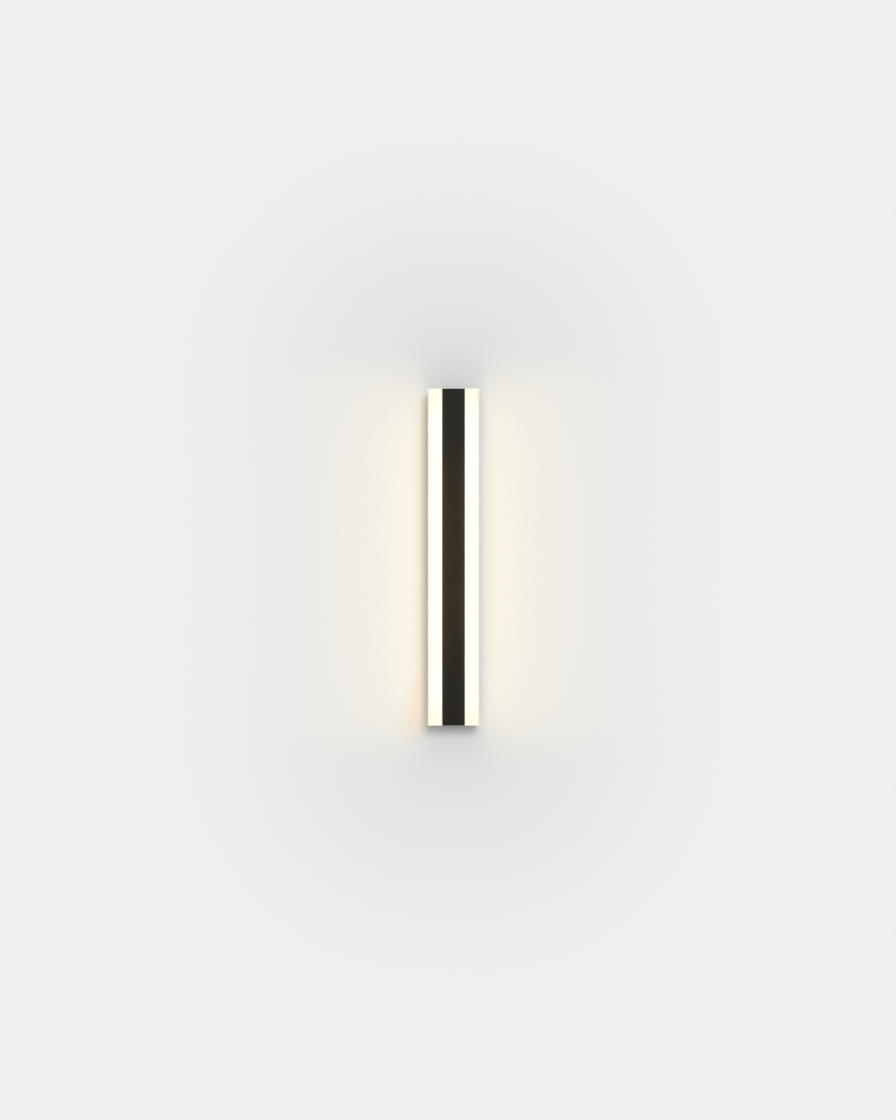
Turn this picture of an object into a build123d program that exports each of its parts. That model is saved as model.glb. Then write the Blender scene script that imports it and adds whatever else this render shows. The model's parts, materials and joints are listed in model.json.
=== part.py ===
from build123d import *
import os

# A slim upright LED wall light: two opal C-section diffusers snapped to a black aluminium spine,
# on a folded tray that hangs on a wall bracket.
#
# Millimetres. x runs to the right, z up. y is 0 on the wall and negative into the room.
# The origin is on the wall, at the middle of the bracket's back face.

# Overall
LAMP_HEIGHT = 400.0             # opal walls and bar, end to end
LAMP_WIDTH = 61.0               # across the two opal side walls
LAMP_DEPTH = 66.0               # wall to the opal fronts
BAR_WIDTH = 26.5                # metal bar that shows between the lit strips
BAR_RECESS = 2.0                # bar face behind the opal fronts
STANDOFF = 16.0                 # wall to the back of the luminous body

# Spine extrusion
SPINE_WALL = 2.0
SPINE_EDGE_BREAK = 0.3
FLANGE_THICKNESS = 2.0
BAND_THICKNESS = 5.0            # thicker band of the flange that takes the tray screws
BAND_WIDTH = 5.5
RAIL_THICKNESS = 1.0            # rails that hold the LED boards
RAIL_OVERHANG = 1.0
PORT_OUTER_R = 2.75             # C-shaped screw ports for the end caps
PORT_SINK = 1.0                 # how far a port's ring is sunk into the spine's wall
PORT_MOUTH = 1.2
CHANNEL_CORNER_R = 1.0

# Opal diffusers
OPAL_WALL = 2.0
OPAL_CORNER_R = 3.0
OPAL_EDGE_R = 0.5
LEG_THICKNESS = 1.5             # front leg that snaps into the spine's hook channel
LEG_DEPTH = 9.0
BARB_HEIGHT = 1.0
BARB_LENGTH = 1.5
BARB_TIP = 0.3
HOOK_THICKNESS = 1.0
LIP_THICKNESS = 1.3             # back lip behind the spine's flange
LIP_ENGAGE = 3.8
RIDGE_HEIGHT = 0.5
RIDGE_WIDTH = 1.0
SNAP_CLEARANCE = 0.2
FLANGE_EDGE_GAP = 0.5

# End caps and gaskets
CAP_PLATE = 3.0
GASKET = 1.0
CAP_CLEARANCE = 0.2
CAP_CHAMFER = 0.4
PLUG_DEPTH = 8.0                # light-stopping plug below the gasket's seat
PLUG_WALL = 1.5
PLUG_CLEARANCE = 0.5
PLUG_CORNER_R = 1.0
GASKET_WINDOW_MARGIN = 5.5      # gasket left around its middle window

# LED strips
BOARD_WIDTH = 12.0
BOARD_THICKNESS = 1.6
BOARD_END_GAP = 1.0             # board's end to the cap's plug
BOARD_CLEARANCE = 0.1
TAPE = 0.3
CHIPS_PER_BOARD = 24
CHIP_WIDTH = 2.8
CHIP_LENGTH = 3.5
CHIP_HEIGHT = 0.7
CHIP_LENS_MARGIN = 0.5
CHIP_LENS_DEPTH = 0.15
FILM = 0.5                      # white reflector at the back of each light chamber
FILM_CLEARANCE = 0.2

# Folded tray
TRAY_WIDTH = 44.0
TRAY_END_INSET = 8.0
TRAY_SHEET = 1.5
TRAY_WALL_GAP = 0.5             # rim clear of the wall
TRAY_BEND_R = 2.0
TRAY_SLIT = 0.3                 # open corner between two folded walls
TRAY_RELIEF_R = 0.8
TRAY_SLIT_START = 3.0
TRAY_SCREW_INSET = 42.0

# Wall bracket
BRACKET_WIDTH = 34.0
BRACKET_SHEET = 1.5
BRACKET_CORNER_R = 3.0
EAR_WIDTH = 18.0
EAR_REACH = 12.5
EAR_GAP = 0.3                   # ear to the tray wall and to the clamp plate
EAR_SHOULDER = 5.2              # strap's shoulders below the ear's outer face
EAR_CORNER_R = 2.0
BEND_R = 0.5                    # inside radius of a folded angle
FIXING_SPACING = 200.0
SLOT_WIDTH = 4.6
SLOT_LENGTH = 12.0
BOX_SPACING = 60.3              # screws of a round wall box
BOX_HOLE_R = 2.25
PAN_R = 13.5                    # pressed pan that makes room for the bush's back flange
PAN_LIFT = 2.0
PAN_SLOPE = 1.8
CABLE_BORE_R = 4.5
CABLE_HOLE_R = 7.5
CABLE_FLANGE_R = 9.5
CABLE_FLANGE = 1.5

# Clamp and lock screws
LOCK_Y = -8.0
LOCK_SLOT_CLEARANCE = 0.25
LOCK_MOUTH_FLARE = 1.0
CLAMP_SHEET = 2.0
CLAMP_WIDTH = 16.0
CLAMP_FOOT = 16.0
CLAMP_REACH = 11.0
LOCK_SCREW_LENGTH = 12.0
LOCK_HEAD_R = 3.5
LOCK_HEAD = 4.0
LOCK_HEAD_CHAMFER = 0.4
LOCK_SOCKET = 3.0               # hexagon across flats
LOCK_SOCKET_DEPTH = 2.2
WASHER_R = 4.5
WASHER = 0.8

# Screws: threads are drawn as plain cylinders of their major diameter
M3_R = 1.5
M4_R = 2.0
THREAD_CLEARANCE = 0.05
HOLE_CLEARANCE = 0.2
TRAY_SCREW_LENGTH = 5.0
TRAY_SCREW_HOLE = 4.3
PAN_HEAD_R = 2.75
PAN_HEAD = 2.0
HEAD_TAPER = 0.8                # a pan head's top is this much smaller in radius than its seat
M4_HEAD_R = 3.5
M4_HEAD = 2.4
CAP_SCREW_LENGTH = 14.0
CAP_SCREW_HEAD_R = 2.9

# Driver
DRIVER_LENGTH = 170.0
DRIVER_DEPTH = 22.0
DRIVER_TO_CLAMP = 29.4          # driver's lower lug to the foot of the lower clamp plate
DRIVER_SIDE_GAP = 1.25
DRIVER_FRONT_GAP = 2.5
DRIVER_COVER = 22.0
DRIVER_BASE = 3.0
DRIVER_EAR = 8.0
DRIVER_EAR_WIDTH = 11.0
DRIVER_EDGE_R = 1.5
DRIVER_RIB = 0.6
DRIVER_RIB_COUNT = 9
DRIVER_SCREW_LENGTH = 6.0

# Terminal block
TERMINAL_Z = 60.0
TERMINAL_PITCH = 8.0
TERMINAL_POLE = 6.4
TERMINAL_LENGTH = 17.0
TERMINAL_HEIGHT = 11.0
TERMINAL_BASE = 4.0
TERMINAL_LUG = 5.0
TERMINAL_LUG_WIDTH = 8.0
TERMINAL_CROWN_R = 1.0
CAGE_WIDTH = 4.4                # square brass cages that clamp the cores
CAGE_BORE = 2.9
CAGE_LENGTH = 15.0
CAGE_CLEARANCE = 0.05
CAGE_RISE = 5.5                 # cage's axis above the tray's web
TERMINAL_SCREW_R = 1.3
TERMINAL_SCREW_SPACING = 8.0
TERMINAL_SCREW_SINK = 0.8
TERMINAL_SLIT = 0.6             # screwdriver slit, its width and its depth

# Leads
CORE_R = 1.2
LEAD_R = 1.2
LEAD_FLATS = 6                  # the leads are hidden, so flats keep their bends light
LEAD_INSERTION = 4.0
CORE_BEND_R = 8.0
LIVE_RISE = 6.0                 # straight up from its terminal, then slanting to the middle by LIVE_SLANT
LIVE_SLANT = 25.0
NEUTRAL_RISE = 12.0
NEUTRAL_SLANT = 26.0
EARTH_RISE = 4.5
EARTH_BEND_R = 6.0
EARTH_STRAIGHT = 1.0            # straight run into the lug's barrel
LEAD_HOLE_CLEARANCE = 0.2
SUPPLY_SPREAD = 2.0             # live and neutral either side of the middle
WEB_BUSH_Z = 106.0
WEB_BUSH_BORE_R = 4.2
WEB_BUSH_HOLE_R = 6.0
WEB_BUSH_FLANGE_R = 7.8
WEB_BUSH_FLANGE = 1.2
SIDE_BUSH_HOLE_R = 2.6
SIDE_BUSH_FLANGE_R = 3.6
SIDE_BUSH_FLANGE = 1.0
SIDE_BUSH_ROOM = 0.5            # its flange to the board's rail and to the reflector
BUSH_CLEARANCE = 0.05
LEAD_BORE_CLEARANCE = 0.1
LED_LEAD_X = 4.0
LED_LEAD_BOW = 4.0              # bow of the LED lead outside its plug
LED_LEAD_STRAIGHT = 0.4         # straight stub between the plug and the bow's bend
LED_LEAD_SETBACK = 12.0
PLUG_BODY = 6.0
PLUG_BODY_HEIGHT = 2.6
PLUG_BODY_LENGTH = 7.0
PLUG_CHAMFER = 0.4
PLUG_LATCH = 1.2
LUG_Z = 88.0
LUG_INSET = 3.25                # lug's screw to the inside of the spine's wall
LUG_R = 4.2
LUG_PLATE = 0.8
LUG_BARREL_R = 1.9
LUG_BARREL_LENGTH = 4.5
LUG_NECK = 5.0
EARTH_SCREW_LENGTH = 5.0

# Levels and edges that the sizes above give
HALF_HEIGHT = LAMP_HEIGHT / 2
HALF_WIDTH = LAMP_WIDTH / 2
HALF_BAR = BAR_WIDTH / 2
OPAL_FRONT = -LAMP_DEPTH
OPAL_INNER_FRONT = OPAL_FRONT + OPAL_WALL
OPAL_INNER_SIDE = HALF_WIDTH - OPAL_WALL
BAR_FRONT = OPAL_FRONT + BAR_RECESS
BAR_BACK = BAR_FRONT + SPINE_WALL
SPINE_BACK = -STANDOFF
CHANNEL_HALF = HALF_BAR - SPINE_WALL

LEG_INNER = HALF_BAR + SNAP_CLEARANCE
LEG_OUTER = LEG_INNER + LEG_THICKNESS
LEG_TIP = OPAL_FRONT + LEG_DEPTH
BARB_OUTER = LEG_OUTER + BARB_HEIGHT
BARB_FRONT = LEG_TIP - BARB_LENGTH
HOOK_INNER = BARB_OUTER + SNAP_CLEARANCE
HOOK_OUTER = HOOK_INNER + HOOK_THICKNESS
HOOK_FLOOR = LEG_TIP + SNAP_CLEARANCE
HOOK_BACK = HOOK_FLOOR + HOOK_THICKNESS
HOOK_LIP = BARB_FRONT - SNAP_CLEARANCE

FLANGE_EDGE = OPAL_INNER_SIDE - FLANGE_EDGE_GAP
JOGGLE = FLANGE_EDGE - LIP_ENGAGE
LIP_EDGE = JOGGLE + SNAP_CLEARANCE
LIP_FRONT = SPINE_BACK - LIP_THICKNESS
STEP_BACK = LIP_FRONT - SNAP_CLEARANCE
STEP_FRONT = STEP_BACK - FLANGE_THICKNESS
BAND_EDGE = HALF_BAR + BAND_WIDTH
BAND_FRONT = SPINE_BACK - BAND_THICKNESS
FILM_FRONT = BAND_FRONT - FILM

BOARD_FACE = HALF_BAR + TAPE + BOARD_THICKNESS
RAIL_INNER = BOARD_WIDTH / 2 + BOARD_CLEARANCE
RAIL_OUTER = RAIL_INNER + RAIL_THICKNESS
LEAD_Y = FILM_FRONT - SIDE_BUSH_ROOM - SIDE_BUSH_FLANGE_R
BOARD_Y = LEAD_Y - SIDE_BUSH_FLANGE_R - SIDE_BUSH_ROOM - RAIL_OUTER
RAIL_LIP = BOARD_FACE + BOARD_CLEARANCE
RAIL_TOP = RAIL_LIP + RAIL_THICKNESS

POCKET = CAP_PLATE + GASKET
SPINE_END = HALF_HEIGHT - POCKET
PLUG_END = SPINE_END - PLUG_DEPTH
BOARD_HALF = PLUG_END - BOARD_END_GAP
PORT_X = CHANNEL_HALF - PORT_OUTER_R + PORT_SINK
PORT_Y = SPINE_BACK - DRIVER_DEPTH - DRIVER_FRONT_GAP - PORT_OUTER_R

TRAY_HALF_WIDTH = TRAY_WIDTH / 2
TRAY_END = HALF_HEIGHT - TRAY_END_INSET
TRAY_INNER_END = TRAY_END - TRAY_SHEET
TRAY_BACK = SPINE_BACK + TRAY_SHEET
TRAY_SCREW_X = HALF_BAR + BAND_WIDTH / 2
TRAY_SCREW_Z = TRAY_END - TRAY_SCREW_INSET
EAR_OUTER = TRAY_INNER_END - EAR_GAP
EAR_INNER = EAR_OUTER - BRACKET_SHEET
CLAMP_OUTER = EAR_INNER - EAR_GAP

DRIVER_HALF_WIDTH = CHANNEL_HALF - DRIVER_SIDE_GAP
DRIVER_BOTTOM = CLAMP_FOOT - CLAMP_OUTER + DRIVER_TO_CLAMP + DRIVER_EAR
DRIVER_TOP = DRIVER_BOTTOM + DRIVER_LENGTH
LED_LEAD_Z = LED_LEAD_SETBACK - BOARD_HALF
PLUG_TOP = BOARD_FACE + PLUG_BODY_HEIGHT
CAGE_Y = TRAY_BACK + CAGE_RISE
TERMINAL_TOP = TERMINAL_Z + CAGE_LENGTH / 2
LUG_X = CHANNEL_HALF - LUG_INSET

OVERCUT = 0.5                   # how far a cutting tool runs past the face it opens


# Helpers

def area(x0, x1, y0, y1):
    """Rectangle of a cross-section, between two values each way."""
    return Pos((x0 + x1) / 2, (y0 + y1) / 2) * Rectangle(abs(x1 - x0), abs(y1 - y0))


def prism(section, z0, z1):
    """A cross-section in x and y, drawn out from z0 to z1."""
    return Pos(0, 0, z0) * extrude(section, amount=z1 - z0)


def block(x0, x1, y0, y1, z0, z1):
    return prism(area(x0, x1, y0, y1), z0, z1)


def rod_x(y, z, r, x0, x1):
    return Pos((x0 + x1) / 2, y, z) * Rot(0, 90, 0) * Cylinder(r, abs(x1 - x0))


def rod_y(x, z, r, y0, y1):
    return Pos(x, (y0 + y1) / 2, z) * Rot(90, 0, 0) * Cylinder(r, abs(y1 - y0))


def rod_z(x, y, r, z0, z1):
    return Pos(x, y, (z0 + z1) / 2) * Cylinder(r, abs(z1 - z0))


def other_side(shape):
    return mirror(shape, about=Plane.YZ)


def other_end(shape):
    return mirror(shape, about=Plane.XY)


def both_sides(shape):
    return shape + other_side(shape)


def separate(solids):
    """A group of solids that stay separate in one node."""
    return Compound(children=[solid for item in solids for solid in item.solids()])


def angle_profile(corner_y, corner_z, sheet, foot, reach, side):
    """Folded angle seen from the side: a foot down z and a leg along side * y, from its outer corner."""
    foot_part = area(corner_y, corner_y + side * sheet, corner_z - foot, corner_z)
    leg_part = area(corner_y, corner_y + side * reach, corner_z - sheet, corner_z)
    profile = foot_part + leg_part
    outer = profile.vertices().sort_by_distance((corner_y, corner_z, 0))[0]
    profile = fillet(outer, BEND_R + sheet)
    inner = profile.vertices().sort_by_distance((corner_y + side * sheet, corner_z - sheet, 0))[0]
    return fillet(inner, BEND_R)


def along_x(profile, half_width):
    """A profile of y and z, drawn out to both sides."""
    return extrude(Plane.YZ * profile, amount=half_width, both=True)


def grommet(bore_r, hole_r, flange_r, flange, sheet):
    """Rubber bush about z, with the sheet's middle plane at z = 0."""
    half = sheet / 2
    tip = half + flange
    bevel = flange / 3
    outline = Polyline(
        (bore_r, -tip),
        (flange_r - bevel, -tip),
        (flange_r, bevel - tip),
        (flange_r, -half),
        (hole_r, -half),
        (hole_r, half),
        (flange_r, half),
        (flange_r, tip - bevel),
        (flange_r - bevel, tip),
        (bore_r, tip),
        close=True,
    )
    return revolve(Plane.XZ * make_face(outline), Axis.Z)


def pan_screw(r, length, head_r, head):
    """Screw about z with a low tapered head seated at z = 0, its point down."""
    outline = Polyline(
        (0, -length),
        (r, -length),
        (r, 0),
        (head_r, 0),
        (head_r - HEAD_TAPER, head),
        (0, head),
        close=True,
    )
    return revolve(Plane.XZ * make_face(outline), Axis.Z)


def to_wall(shape, x, y, z):
    """Places a shape made about z so that its +z points at the wall."""
    return Pos(x, y, z) * Rot(-90, 0, 0) * shape


def to_room(shape, x, y, z):
    """Places a shape made about z so that its +z points into the room."""
    return Pos(x, y, z) * Rot(90, 0, 0) * shape


def lead(points, radii, r):
    """Lead along straight runs joined by arcs."""
    path = FilletPolyline(*points, radius=radii)
    section = Plane(origin=path @ 0, z_dir=path % 0) * RegularPolygon(r, LEAD_FLATS)
    return sweep(section, path=path)


# Spine: the bar that shows, with everything that the other pieces slide, snap or screw into

def spine_half_section():
    web = area(0, HALF_BAR, BAR_FRONT, BAR_BACK)
    wall = area(CHANNEL_HALF, HALF_BAR, BAR_FRONT, SPINE_BACK)
    band = area(CHANNEL_HALF, BAND_EDGE, BAND_FRONT, SPINE_BACK)
    flange = area(HALF_BAR, JOGGLE, SPINE_BACK - FLANGE_THICKNESS, SPINE_BACK)
    riser = area(JOGGLE - FLANGE_THICKNESS, JOGGLE, STEP_FRONT, SPINE_BACK)
    step = area(JOGGLE - FLANGE_THICKNESS, FLANGE_EDGE, STEP_FRONT, STEP_BACK)
    groove = area(
        JOGGLE,
        LIP_EDGE + RIDGE_WIDTH + SNAP_CLEARANCE,
        STEP_BACK - RIDGE_HEIGHT,
        STEP_BACK,
    )
    return (
        web + wall + band + flange + riser + step - groove
        + hook_section() + board_rail(1) + board_rail(-1) + screw_port() - screw_port_bore()
    )


def hook_section():
    """Channel beside the bar that the diffuser's barbed leg snaps into."""
    floor = area(HALF_BAR, HOOK_OUTER, HOOK_FLOOR, HOOK_BACK)
    arm = area(HOOK_INNER, HOOK_OUTER, HOOK_LIP - HOOK_THICKNESS, HOOK_BACK)
    lip = area(LEG_OUTER + SNAP_CLEARANCE, HOOK_OUTER, HOOK_LIP - HOOK_THICKNESS, HOOK_LIP)
    return floor + arm + lip


def board_rail(side):
    """One of the two rails that an LED board slides between."""
    edge = BOARD_Y + side * RAIL_INNER
    wall = area(HALF_BAR, RAIL_TOP, edge, edge + side * RAIL_THICKNESS)
    lip = area(RAIL_LIP, RAIL_TOP, edge - side * RAIL_OVERHANG, edge)
    return wall + lip


def screw_port():
    return Pos(PORT_X, PORT_Y) * Circle(PORT_OUTER_R)


def screw_port_bore():
    bore = Pos(PORT_X, PORT_Y) * Circle(M3_R + THREAD_CLEARANCE)
    mouth = area(
        PORT_X - PORT_OUTER_R - OVERCUT, PORT_X, PORT_Y - PORT_MOUTH / 2, PORT_Y + PORT_MOUTH / 2
    )
    return bore + mouth


def spine():
    half = spine_half_section()
    section = half + other_side(half)
    front = section.vertices().group_by(Axis.Y)[0]
    section = fillet(front, SPINE_EDGE_BREAK)
    channel_corners = section.vertices().filter_by(
        lambda v: abs(v.Y - BAR_BACK) < 0.01 and abs(v.X) < HALF_BAR
    )
    section = fillet(channel_corners, CHANNEL_CORNER_R)
    body = prism(section, -HALF_HEIGHT, HALF_HEIGHT)

    # Both ends are milled back behind the bar, so that the cap and its gasket sit inside
    pocket = block(
        -HALF_WIDTH, HALF_WIDTH, BAR_BACK, SPINE_BACK + OVERCUT, SPINE_END, HALF_HEIGHT + OVERCUT
    )
    body = body - pocket - other_end(pocket)
    for z in (-TRAY_SCREW_Z, 0, TRAY_SCREW_Z):
        tapped = rod_y(
            TRAY_SCREW_X, z, M3_R + THREAD_CLEARANCE, SPINE_BACK - TRAY_SCREW_HOLE, SPINE_BACK
        )
        body = body - both_sides(tapped)
    bush_hole = rod_x(
        LEAD_Y, LED_LEAD_Z, SIDE_BUSH_HOLE_R, CHANNEL_HALF - OVERCUT, HALF_BAR + OVERCUT
    )
    return body - both_sides(bush_hole)


# Diffusers: opal C-sections, right one drawn and left one mirrored

def diffuser_right():
    shell = area(LEG_INNER, HALF_WIDTH, OPAL_FRONT, OPAL_INNER_FRONT)
    shell = shell + area(OPAL_INNER_SIDE, HALF_WIDTH, OPAL_FRONT, SPINE_BACK)
    shell = round_corner(shell, HALF_WIDTH, OPAL_FRONT, OPAL_CORNER_R)
    shell = round_corner(shell, OPAL_INNER_SIDE, OPAL_INNER_FRONT, OPAL_CORNER_R - OPAL_WALL)
    shell = round_corner(shell, HALF_WIDTH, SPINE_BACK, OPAL_EDGE_R)
    shell = round_corner(shell, LEG_INNER, OPAL_FRONT, OPAL_EDGE_R)

    leg = area(LEG_INNER, LEG_OUTER, OPAL_INNER_FRONT - OPAL_WALL / 2, LEG_TIP)
    barb = make_face(
        Polyline(
            (LEG_OUTER, LEG_TIP),
            (LEG_OUTER + BARB_TIP, LEG_TIP),
            (BARB_OUTER, BARB_FRONT),
            (LEG_OUTER, BARB_FRONT),
            close=True,
        )
    )
    lip = area(LIP_EDGE, HALF_WIDTH - OPAL_WALL / 2, LIP_FRONT, SPINE_BACK)
    ridge = area(LIP_EDGE, LIP_EDGE + RIDGE_WIDTH, LIP_FRONT - RIDGE_HEIGHT, LIP_FRONT)

    # Leg and lip stop at the end caps' pockets, the visible walls run right through
    return prism(shell, -HALF_HEIGHT, HALF_HEIGHT) + prism(leg + barb + lip + ridge, -SPINE_END, SPINE_END)


def round_corner(section, x, y, r):
    return fillet(section.vertices().sort_by_distance((x, y, 0))[0], r)


# End caps, made for the top end

def cap_outline():
    half = area(0, OPAL_INNER_SIDE - CAP_CLEARANCE, OPAL_INNER_FRONT + CAP_CLEARANCE, SPINE_BACK)
    corner_r = OPAL_CORNER_R - OPAL_WALL
    half = round_corner(
        half, OPAL_INNER_SIDE - CAP_CLEARANCE, OPAL_INNER_FRONT + CAP_CLEARANCE, corner_r
    )
    notch = area(
        0,
        HALF_BAR + CAP_CLEARANCE,
        OPAL_INNER_FRONT + CAP_CLEARANCE,
        BAR_BACK + CAP_CLEARANCE,
    )
    return both_sides(half - notch)


def plug_outline(grow):
    """Outline of the right-hand plug, grown outwards by a margin."""
    return area(
        HOOK_OUTER + PLUG_CLEARANCE - grow,
        OPAL_INNER_SIDE - PLUG_CLEARANCE + grow,
        OPAL_INNER_FRONT + PLUG_CLEARANCE - grow,
        BAND_FRONT - PLUG_CLEARANCE + grow,
    )


def end_cap():
    plate = prism(cap_outline(), HALF_HEIGHT - CAP_PLATE, HALF_HEIGHT)
    plate = chamfer(plate.faces().sort_by(Axis.Z)[-1].edges(), CAP_CHAMFER)
    plug = prism(plug_outline(0), PLUG_END, HALF_HEIGHT - CAP_PLATE)
    plug = fillet(plug.edges().filter_by(Axis.Z), PLUG_CORNER_R)
    core = prism(plug_outline(-PLUG_WALL), PLUG_END, HALF_HEIGHT - CAP_PLATE)
    cap = plate + both_sides(plug - core)
    hole = rod_z(PORT_X, PORT_Y, M3_R + HOLE_CLEARANCE, HALF_HEIGHT - CAP_PLATE, HALF_HEIGHT)
    sink = CAP_SCREW_HEAD_R - M3_R
    cone = Pos(PORT_X, PORT_Y, HALF_HEIGHT - sink / 2) * Cone(
        M3_R + HOLE_CLEARANCE, CAP_SCREW_HEAD_R + HOLE_CLEARANCE, sink
    )
    return cap - both_sides(hole + cone)


def end_gasket():
    window = area(
        -CHANNEL_HALF + GASKET_WINDOW_MARGIN,
        CHANNEL_HALF - GASKET_WINDOW_MARGIN,
        BAR_BACK + GASKET_WINDOW_MARGIN,
        SPINE_BACK - GASKET_WINDOW_MARGIN,
    )
    sheet = cap_outline() - window - both_sides(plug_outline(CAP_CLEARANCE))
    gasket = prism(sheet, SPINE_END, SPINE_END + GASKET)
    hole = rod_z(PORT_X, PORT_Y, M3_R + HOLE_CLEARANCE, SPINE_END, SPINE_END + GASKET)
    return gasket - both_sides(hole)


def end_cap_screws():
    sink = CAP_SCREW_HEAD_R - M3_R
    head = Pos(0, 0, -sink / 2) * Cone(M3_R, CAP_SCREW_HEAD_R, sink)
    screw = head + rod_z(0, 0, M3_R, -CAP_SCREW_LENGTH, 0)
    right = Pos(PORT_X, PORT_Y, HALF_HEIGHT) * screw
    return separate([right, other_side(right)])


# LED strips, made for the right-hand side

def thermal_tape():
    return block(
        HALF_BAR,
        HALF_BAR + TAPE,
        BOARD_Y - BOARD_WIDTH / 2,
        BOARD_Y + BOARD_WIDTH / 2,
        -BOARD_HALF,
        BOARD_HALF,
    )


def led_board():
    return block(
        HALF_BAR + TAPE,
        BOARD_FACE,
        BOARD_Y - BOARD_WIDTH / 2,
        BOARD_Y + BOARD_WIDTH / 2,
        -BOARD_HALF,
        BOARD_HALF,
    )


def led_chips():
    """LED packages with a dished lens, evenly spaced from above the plug to the board's top end."""
    first = LED_LEAD_Z + PLUG_BODY_LENGTH
    pitch = (BOARD_HALF - first) / CHIPS_PER_BOARD
    package = block(
        BOARD_FACE,
        BOARD_FACE + CHIP_HEIGHT,
        BOARD_Y - CHIP_WIDTH / 2,
        BOARD_Y + CHIP_WIDTH / 2,
        -CHIP_LENGTH / 2,
        CHIP_LENGTH / 2,
    )
    lens = block(
        BOARD_FACE + CHIP_HEIGHT - CHIP_LENS_DEPTH,
        BOARD_FACE + CHIP_HEIGHT,
        BOARD_Y - CHIP_WIDTH / 2 + CHIP_LENS_MARGIN,
        BOARD_Y + CHIP_WIDTH / 2 - CHIP_LENS_MARGIN,
        CHIP_LENS_MARGIN - CHIP_LENGTH / 2,
        CHIP_LENGTH / 2 - CHIP_LENS_MARGIN,
    )
    chip = package - lens
    return separate([Pos(0, 0, first + (n + 0.5) * pitch) * chip for n in range(CHIPS_PER_BOARD)])


def reflector():
    """White film on the spine's screw band, its outer edge folded down onto the flange."""
    sheet = area(HALF_BAR + FILM_CLEARANCE, FLANGE_EDGE, FILM_FRONT, BAND_FRONT)
    fold = area(FLANGE_EDGE - FILM, FLANGE_EDGE, FILM_FRONT, STEP_FRONT)
    return prism(sheet + fold, -BOARD_HALF, BOARD_HALF)


def led_plug():
    body = block(
        BOARD_FACE,
        PLUG_TOP,
        BOARD_Y - PLUG_BODY / 2,
        BOARD_Y + PLUG_BODY / 2,
        LED_LEAD_Z - PLUG_BODY_LENGTH / 2,
        LED_LEAD_Z + PLUG_BODY_LENGTH / 2,
    )
    body = chamfer(body.faces().sort_by(Axis.X)[-1].edges(), PLUG_CHAMFER)
    latch = rod_y(
        PLUG_TOP - PLUG_LATCH / 2,
        LED_LEAD_Z + PLUG_BODY_LENGTH / 2,
        PLUG_LATCH / 2,
        BOARD_Y - PLUG_BODY / 4,
        BOARD_Y + PLUG_BODY / 4,
    )
    return body + latch


def led_lead():
    """From the driver's output, out through the spine's wall, and round into the top of the plug."""
    bow = PLUG_TOP + LED_LEAD_BOW
    points = [
        (LED_LEAD_X, LEAD_Y, DRIVER_BOTTOM + LEAD_INSERTION),
        (LED_LEAD_X, LEAD_Y, LED_LEAD_Z),
        (bow, LEAD_Y, LED_LEAD_Z),
        (bow, BOARD_Y, LED_LEAD_Z),
        (PLUG_TOP, BOARD_Y, LED_LEAD_Z),
    ]
    bow_r = LED_LEAD_BOW - LED_LEAD_STRAIGHT
    return lead(points, [LED_LEAD_X, bow_r, bow_r], LEAD_R)


def lead_bush():
    bush = grommet(
        LEAD_R + LEAD_BORE_CLEARANCE,
        SIDE_BUSH_HOLE_R - BUSH_CLEARANCE,
        SIDE_BUSH_FLANGE_R,
        SIDE_BUSH_FLANGE,
        SPINE_WALL,
    )
    return Pos(HALF_BAR - SPINE_WALL / 2, LEAD_Y, LED_LEAD_Z) * Rot(0, 90, 0) * bush


# Tray: folded sheet behind the spine, open to the wall

def tray_shell():
    outer = block(
        -TRAY_HALF_WIDTH, TRAY_HALF_WIDTH, SPINE_BACK, -TRAY_WALL_GAP, -TRAY_END, TRAY_END
    )
    outer = fillet(outer.faces().sort_by(Axis.Y)[0].edges(), TRAY_BEND_R)
    inner = block(
        TRAY_SHEET - TRAY_HALF_WIDTH,
        TRAY_HALF_WIDTH - TRAY_SHEET,
        TRAY_BACK,
        OVERCUT,
        -TRAY_INNER_END,
        TRAY_INNER_END,
    )
    inner = fillet(inner.faces().sort_by(Axis.Y)[0].edges(), TRAY_BEND_R - TRAY_SHEET)
    return outer - inner


def tray_corner_cut():
    """Slit and relief hole between a folded side wall and end wall, at the top right corner."""
    edge = TRAY_HALF_WIDTH - TRAY_SHEET
    z0, z1 = TRAY_INNER_END - OVERCUT, TRAY_END + OVERCUT
    slit = block(edge - TRAY_SLIT, edge, SPINE_BACK + TRAY_SLIT_START, OVERCUT, z0, z1)
    relief = rod_z(edge - TRAY_SLIT / 2, SPINE_BACK + TRAY_SLIT_START, TRAY_RELIEF_R, z0, z1)
    return slit + relief


def web_hole(x, z, r):
    return rod_y(x, z, r, SPINE_BACK - OVERCUT, TRAY_BACK + OVERCUT)


def back_tray():
    tray = tray_shell()
    corners = both_sides(tray_corner_cut())
    tray = tray - corners - other_end(corners)
    for z in (-TRAY_SCREW_Z, 0, TRAY_SCREW_Z):
        tray = tray - both_sides(web_hole(TRAY_SCREW_X, z, M3_R + HOLE_CLEARANCE))
    for z in driver_screw_heights():
        tray = tray - web_hole(0, z, M3_R + THREAD_CLEARANCE)
    tray = tray - both_sides(web_hole(terminal_lug_x(), TERMINAL_Z, M3_R + THREAD_CLEARANCE))
    tray = tray - web_hole(LUG_X, LUG_Z, M4_R + THREAD_CLEARANCE)
    tray = tray - web_hole(0, WEB_BUSH_Z, WEB_BUSH_HOLE_R)
    lock_hole = rod_z(0, LOCK_Y, M4_R + HOLE_CLEARANCE, TRAY_INNER_END - OVERCUT, TRAY_END + OVERCUT)
    return tray - lock_hole - other_end(lock_hole)


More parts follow.
